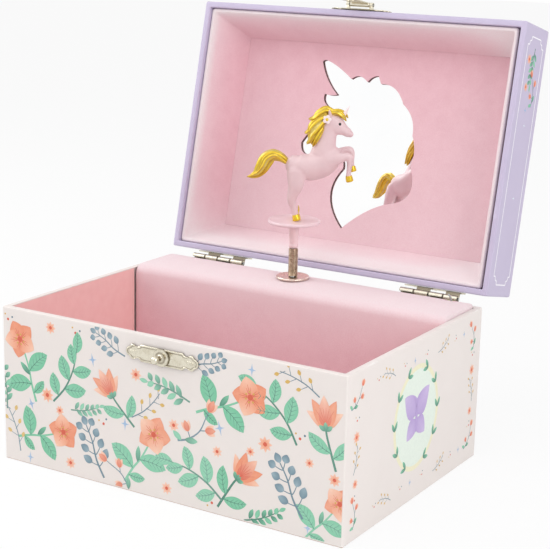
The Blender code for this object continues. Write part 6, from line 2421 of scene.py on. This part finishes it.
@dataclass
class PaperPrint:
    """The printed papers: flowers on the long sides, a framed oval on the short ones, lines on the lid.

    A toss is a motif, its place across and up, its size and its turn.
    """

    margin: float = 0.7
    rim_margin: float = 0.6
    lid_margin: float = 0.8
    top_margin: float = 1.0
    line: float = 0.24
    wreath: Row = (40.0, 27.0)
    stars: Row = (56.0, 40.0)
    front: Sequence[Toss] = (
        (SPRAY, -64, 42, 1.0, 28), (FROND, -43, 41, 0.95, -32), (LILY, -23, 36, 0.9, 34),
        (SPRIG, 2, 43, 0.95, 74), (SPRAY, 30, 43, 1.0, -56), (FROND, 47, 45, 0.95, 40),
        (LILY, 68, 42, 0.95, 6), (BERRY, -71, 14, 1.0, 18), (SPRAY, -54, 14, 0.95, -64),
        (COIN, -32, 14, 1.05, 24), (SPRAY, -8, 17, 1.0, -22), (FROND, 13, 13, 0.95, 62),
        (LILY, 33, 16, 0.95, -44), (COIN, 54, 18, 1.05, 28), (SPRAY, 70, 10, 0.85, -30),
        (BUD, 15, 30, 0.95, -28), (BERRY, 57, 56, 0.9, 66), (BERRY, -7, 35, 0.9, -50),
        (SPRIG, -75, 30, 0.85, 4), (BUD, -19, 5, 0.8, 60), (SPRIG, 44, 4, 0.8, -68),
        (COIN, 20, 56, 0.7, -70), (COIN, -25, 56, 0.75, 64), (SPRIG, -35, 28, 0.7, -78),
        (DAISY, -54, 30, 1.1, 10), (DAISY, -48, 25, 0.75, 30), (DAISY, -12, 46, 0.95, 0),
        (DAISY, 5, 30, 0.9, 20), (DAISY, 44, 31, 1.1, 5), (DAISY, 38, 27, 0.7, 0),
        (DAISY, -43, 5, 0.9, 0), (DAISY, 24, 24, 0.8, 15), (DAISY, -52, 57, 0.9, 0),
        (DAISY, 72, 24, 0.9, 0), (DAISY, 62, 28, 0.7, 0), (DAISY, 2, 5, 0.9, 12),
        (SPARKLE, -32, 48, 1.1, 10), (SPARKLE, -17, 26, 1.1, 0), (SPARKLE, 25, 33, 1.2, 15),
        (SPARKLE, 62, 4, 1.0, 0), (SPARKLE, -62, 25, 1.1, 20), (SPARKLE, -63, 3, 1.0, 0),
        (SPARKLE, 38, 57, 1.0, 0), (DOTS, -40, 57, 1.0, 0), (DOTS, 22, 4, 1.0, 90),
        (DOTS, 58, 36, 1.0, 10), (DOTS, -27, 24, 1.0, 30), (DOTS, -73, 57, 1.0, 0),
    )

    def build(self) -> None:
        """Prints every face of the base and the lid."""
        out_x, out_y = HALF_WIDTH - FILM, HALF_DEPTH - FILM
        across, depth, up = Vector((1, 0, 0)), Vector((0, 1, 0)), Vector((0, 0, 1))
        self.tossed("front_print", self.face(across, up, -depth * out_y), 1)
        self.tossed("back_print", self.face(-across, up, depth * out_y), -1)
        self.oval("right_print", self.face(depth, up, across * out_x))
        self.oval("left_print", self.face(-depth, up, -across * out_x))
        lift = up * ((RIM_Z + LID_TOP_Z) / 2)
        half_height = (LID_TOP_Z - RIM_Z) / 2
        walls = (
            ("front", -across, -depth * out_y, HALF_WIDTH, (-1, 1)),
            ("back", across, depth * out_y, HALF_WIDTH, (-1, 1)),
            ("right", -depth, across * out_x, HALF_DEPTH, (1,)),
            ("left", depth, -across * out_x, HALF_DEPTH, (-1,)),
        )
        for side, along, out, half, flowered in walls:
            face = LID_TURN @ self.face(along, -up, out + lift)
            self.lid_side(f"lid_{side}_print", face, half, half_height, flowered)
        self.lid_top(LID_TURN @ self.face(across, depth, up * (LID_TOP_Z - FILM)))

    def face(self, across: Vector, up: Vector, at: Vector) -> Matrix:
        """Returns the frame of a face from its directions and its middle."""
        out = across.cross(up)
        return Matrix.Translation(at) @ Matrix((across, up, out)).transposed().to_4x4()

    def base_sheet(self, half: float) -> Sheet:
        """Returns an empty sheet for a side of the base from half its length."""
        return Sheet(-half + self.margin, half - self.margin, self.margin, BASE_HEIGHT - self.rim_margin)

    def tossed(self, name: str, face: Matrix, flip: int) -> None:
        """Tosses flowers over a long side, in layers that let them overlap.

        Args:
            name: The piece's name.
            face: Where the sheet goes.
            flip: 1, or -1 to toss them mirrored.
        """
        sheet = self.base_sheet(HALF_WIDTH)
        for i, (motif, across, up, size, turn) in enumerate(self.front):
            layer = 0 if motif in (SPARKLE, DOTS, DAISY) else 1 + i % 2
            Pen(sheet, across * flip, up, size, turn * flip, layer, 0.05 * (i % 4)).draw(motif)
        sheet.publish(name, PRINT_INK, "base", face)

    def oval(self, name: str, face: Matrix) -> None:
        """Prints a short side: an oval with a butterfly, and a border of sprigs, flowers and dots.

        Args:
            name: The piece's name.
            face: Where the sheet goes.
        """
        sheet = self.base_sheet(HALF_DEPTH)
        self.butterfly(Pen(sheet, -1.0, 32.0))
        edge, low, high = 47.0, 7.5, 54.5
        for side in (-1, 1):
            for motif, v, size, turn in (
                (BUD, high - 3, 0.5, side * 30), (DOTS, 44, 0.7, 0), (DAISY, 38, 0.85, 0),
                (BERRY, 30, 0.55, side * 14), (DAISY, 21, 0.7, 20), (DOTS, 15, 0.7, 60),
                (BUD, low + 2, 0.5, side * -20),
            ):
                Pen(sheet, side * edge, v, size, turn).draw(motif)
        for v in (low, high):
            for motif, u, size, turn in (
                (DOTS, -32, 0.6, 20), (BERRY, -24, 0.5, 70), (DOTS, -12, 0.6, 0), (SPARKLE, -4, 0.6, 0),
                (DOTS, 6, 0.6, 40), (BERRY, 20, 0.5, -70), (DOTS, 31, 0.6, 80), (SPARKLE, 38, 0.6, 0),
            ):
                Pen(sheet, u, v, size, turn).draw(motif)
        sheet.publish(name, PRINT_INK, "base", face)

    def butterfly(self, pen: Pen) -> None:
        """Draws a butterfly in a leafy oval.

        Args:
            pen: The pen, at the oval's middle.
        """
        pen.disc((0.0, 0.0), 18.2, Ink.LIME, -1, 1.12)
        pen.disc((0.0, 0.0), 16.4, Ink.CREAM, 0, 1.13)
        for side in (-1, 1):
            pen.petal((side * 0.6, 1.0), 90 - side * 38, 13.0, 4.6, VIOLETS, 1, 0.95, side * -8.0)
            pen.petal((side * 0.6, -0.5), -90 + side * 44, 9.5, 3.6, VIOLETS, 1, 0.9)
            pen.stroke(((0.0, 4.0), (side * 1.6, 7.5), (side * 3.4, 9.0)), 0.16, 0.1, Ink.VIOLET, 3)
            for k in range(5):
                angle = 90 + side * (28 + 32 * k)
                a = math.radians(angle)
                spot = (17.4 * math.cos(a), 19.5 * math.sin(a))
                for spread in (-30, 30):
                    pen.petal(spot, angle - side * 90 + spread, 4.2, 0.8, LEAFY, 1)
        pen.petal((0.0, -6.0), 90, 11.0, 1.0, (Ink.VIOLET, Ink.VIOLET), 3)

    def notched_frame(self, sheet: Sheet, half: float, tall: float) -> None:
        """Draws a white line frame with stepped corners.

        Args:
            sheet: The sheet that it goes on.
            half: Half its length.
            tall: Half its height.
        """
        pen = Pen(sheet, 0.0, 0.0)
        steps = ((3.4, 0.0), (3.4, 1.5), (1.9, 1.9), (1.5, 3.4), (0.0, 3.4))
        corner = [(half - u, tall - v) for u, v in steps]
        line = []
        for su, sv in ((1, 1), (1, -1), (-1, -1), (-1, 1)):
            points = corner if su * sv > 0 else corner[::-1]
            line.extend((su * u, sv * v) for u, v in points)
        line.append(line[0])
        for start, stop in zip(line, line[1:]):
            pen.ribbon(((*start, self.line), (*stop, self.line)), [Ink.WHITE.value] * 2, 0)

    def lid_side(self, name: str, face: Matrix, half: float, tall: float, flowered: Sequence[int]) -> None:
        """Prints a side of the lid: a line frame and small flowers towards its ends.

        Args:
            name: The piece's name.
            face: Where the sheet goes.
            half: Half the side's length.
            tall: Half its height.
            flowered: The ends that carry flowers.
        """
        edge = self.lid_margin
        sheet = Sheet(-half + edge, half - edge, -tall + edge, tall - edge)
        self.notched_frame(sheet, half - 5.0, tall - 4.0)
        for sign in flowered:
            for motif, back, v, size, turn in (
                (SPRIG, 17, 0.6, 0.72, sign * 84), (BUD, 26, -3.4, 0.6, sign * -60),
                (DAISY, 14, 4.6, 0.8, 10), (DAISY, 25, 4.2, 0.7, 40), (SPARKLE, 34, 1.2, 0.7, 0),
            ):
                Pen(sheet, sign * (half - back), v, size, turn).draw(motif)
        for sign in (-1, 1):
            Pen(sheet, sign * (half - 40), 0.0, 0.5, pale=0.7).draw(SPARKLE)
        sheet.publish(name, LID_INK, "lid", face)

    def lid_top(self, face: Matrix) -> None:
        """Prints the lid's top: a line frame and an oval wreath of sprigs and blossoms.

        Args:
            face: Where the sheet goes.
        """
        half, tall, edge = HALF_WIDTH, HALF_DEPTH, self.top_margin
        sheet = Sheet(-half + edge, half - edge, -tall + edge, tall - edge)
        self.notched_frame(sheet, half - 6.0, tall - 6.0)
        wide, deep = self.wreath
        count = 14
        for k in range(count):
            a = 2 * math.pi * k / count
            heading = math.degrees(math.atan2(deep * math.cos(a), -wide * math.sin(a))) - 90
            Pen(sheet, wide * math.cos(a), deep * math.sin(a), 0.8, heading, 2).draw(SPRIG)
        for k in range(6):
            a = 2 * math.pi * (k + 0.5) / 6
            pen = Pen(sheet, wide * math.cos(a), deep * math.sin(a), 0.75, 60 * k, 3)
            pen.blossom((0.0, 0.0), 8.0)
        for k in range(8):
            a = 2 * math.pi * k / 8
            Pen(sheet, self.stars[0] * math.cos(a), self.stars[1] * math.sin(a), 0.8).draw(SPARKLE)
        sheet.publish("lid_top_print", LID_INK, "lid", face)


def main() -> None:
    """Builds the scene, piece by piece."""
    logging.basicConfig(level=logging.INFO, format="%(name)s: %(message)s")
    assemblies = (
        Studio(), Carcass(), Shelf(), LidCase(), Hinges(), Clasp(), Stand(), Unicorn(), BackFittings(),
        PaperPrint(),
    )
    for assembly in assemblies:
        LOG.info("building %s", type(assembly).__name__)
        assembly.build()
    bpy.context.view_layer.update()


if __name__ == "__main__":
    main()
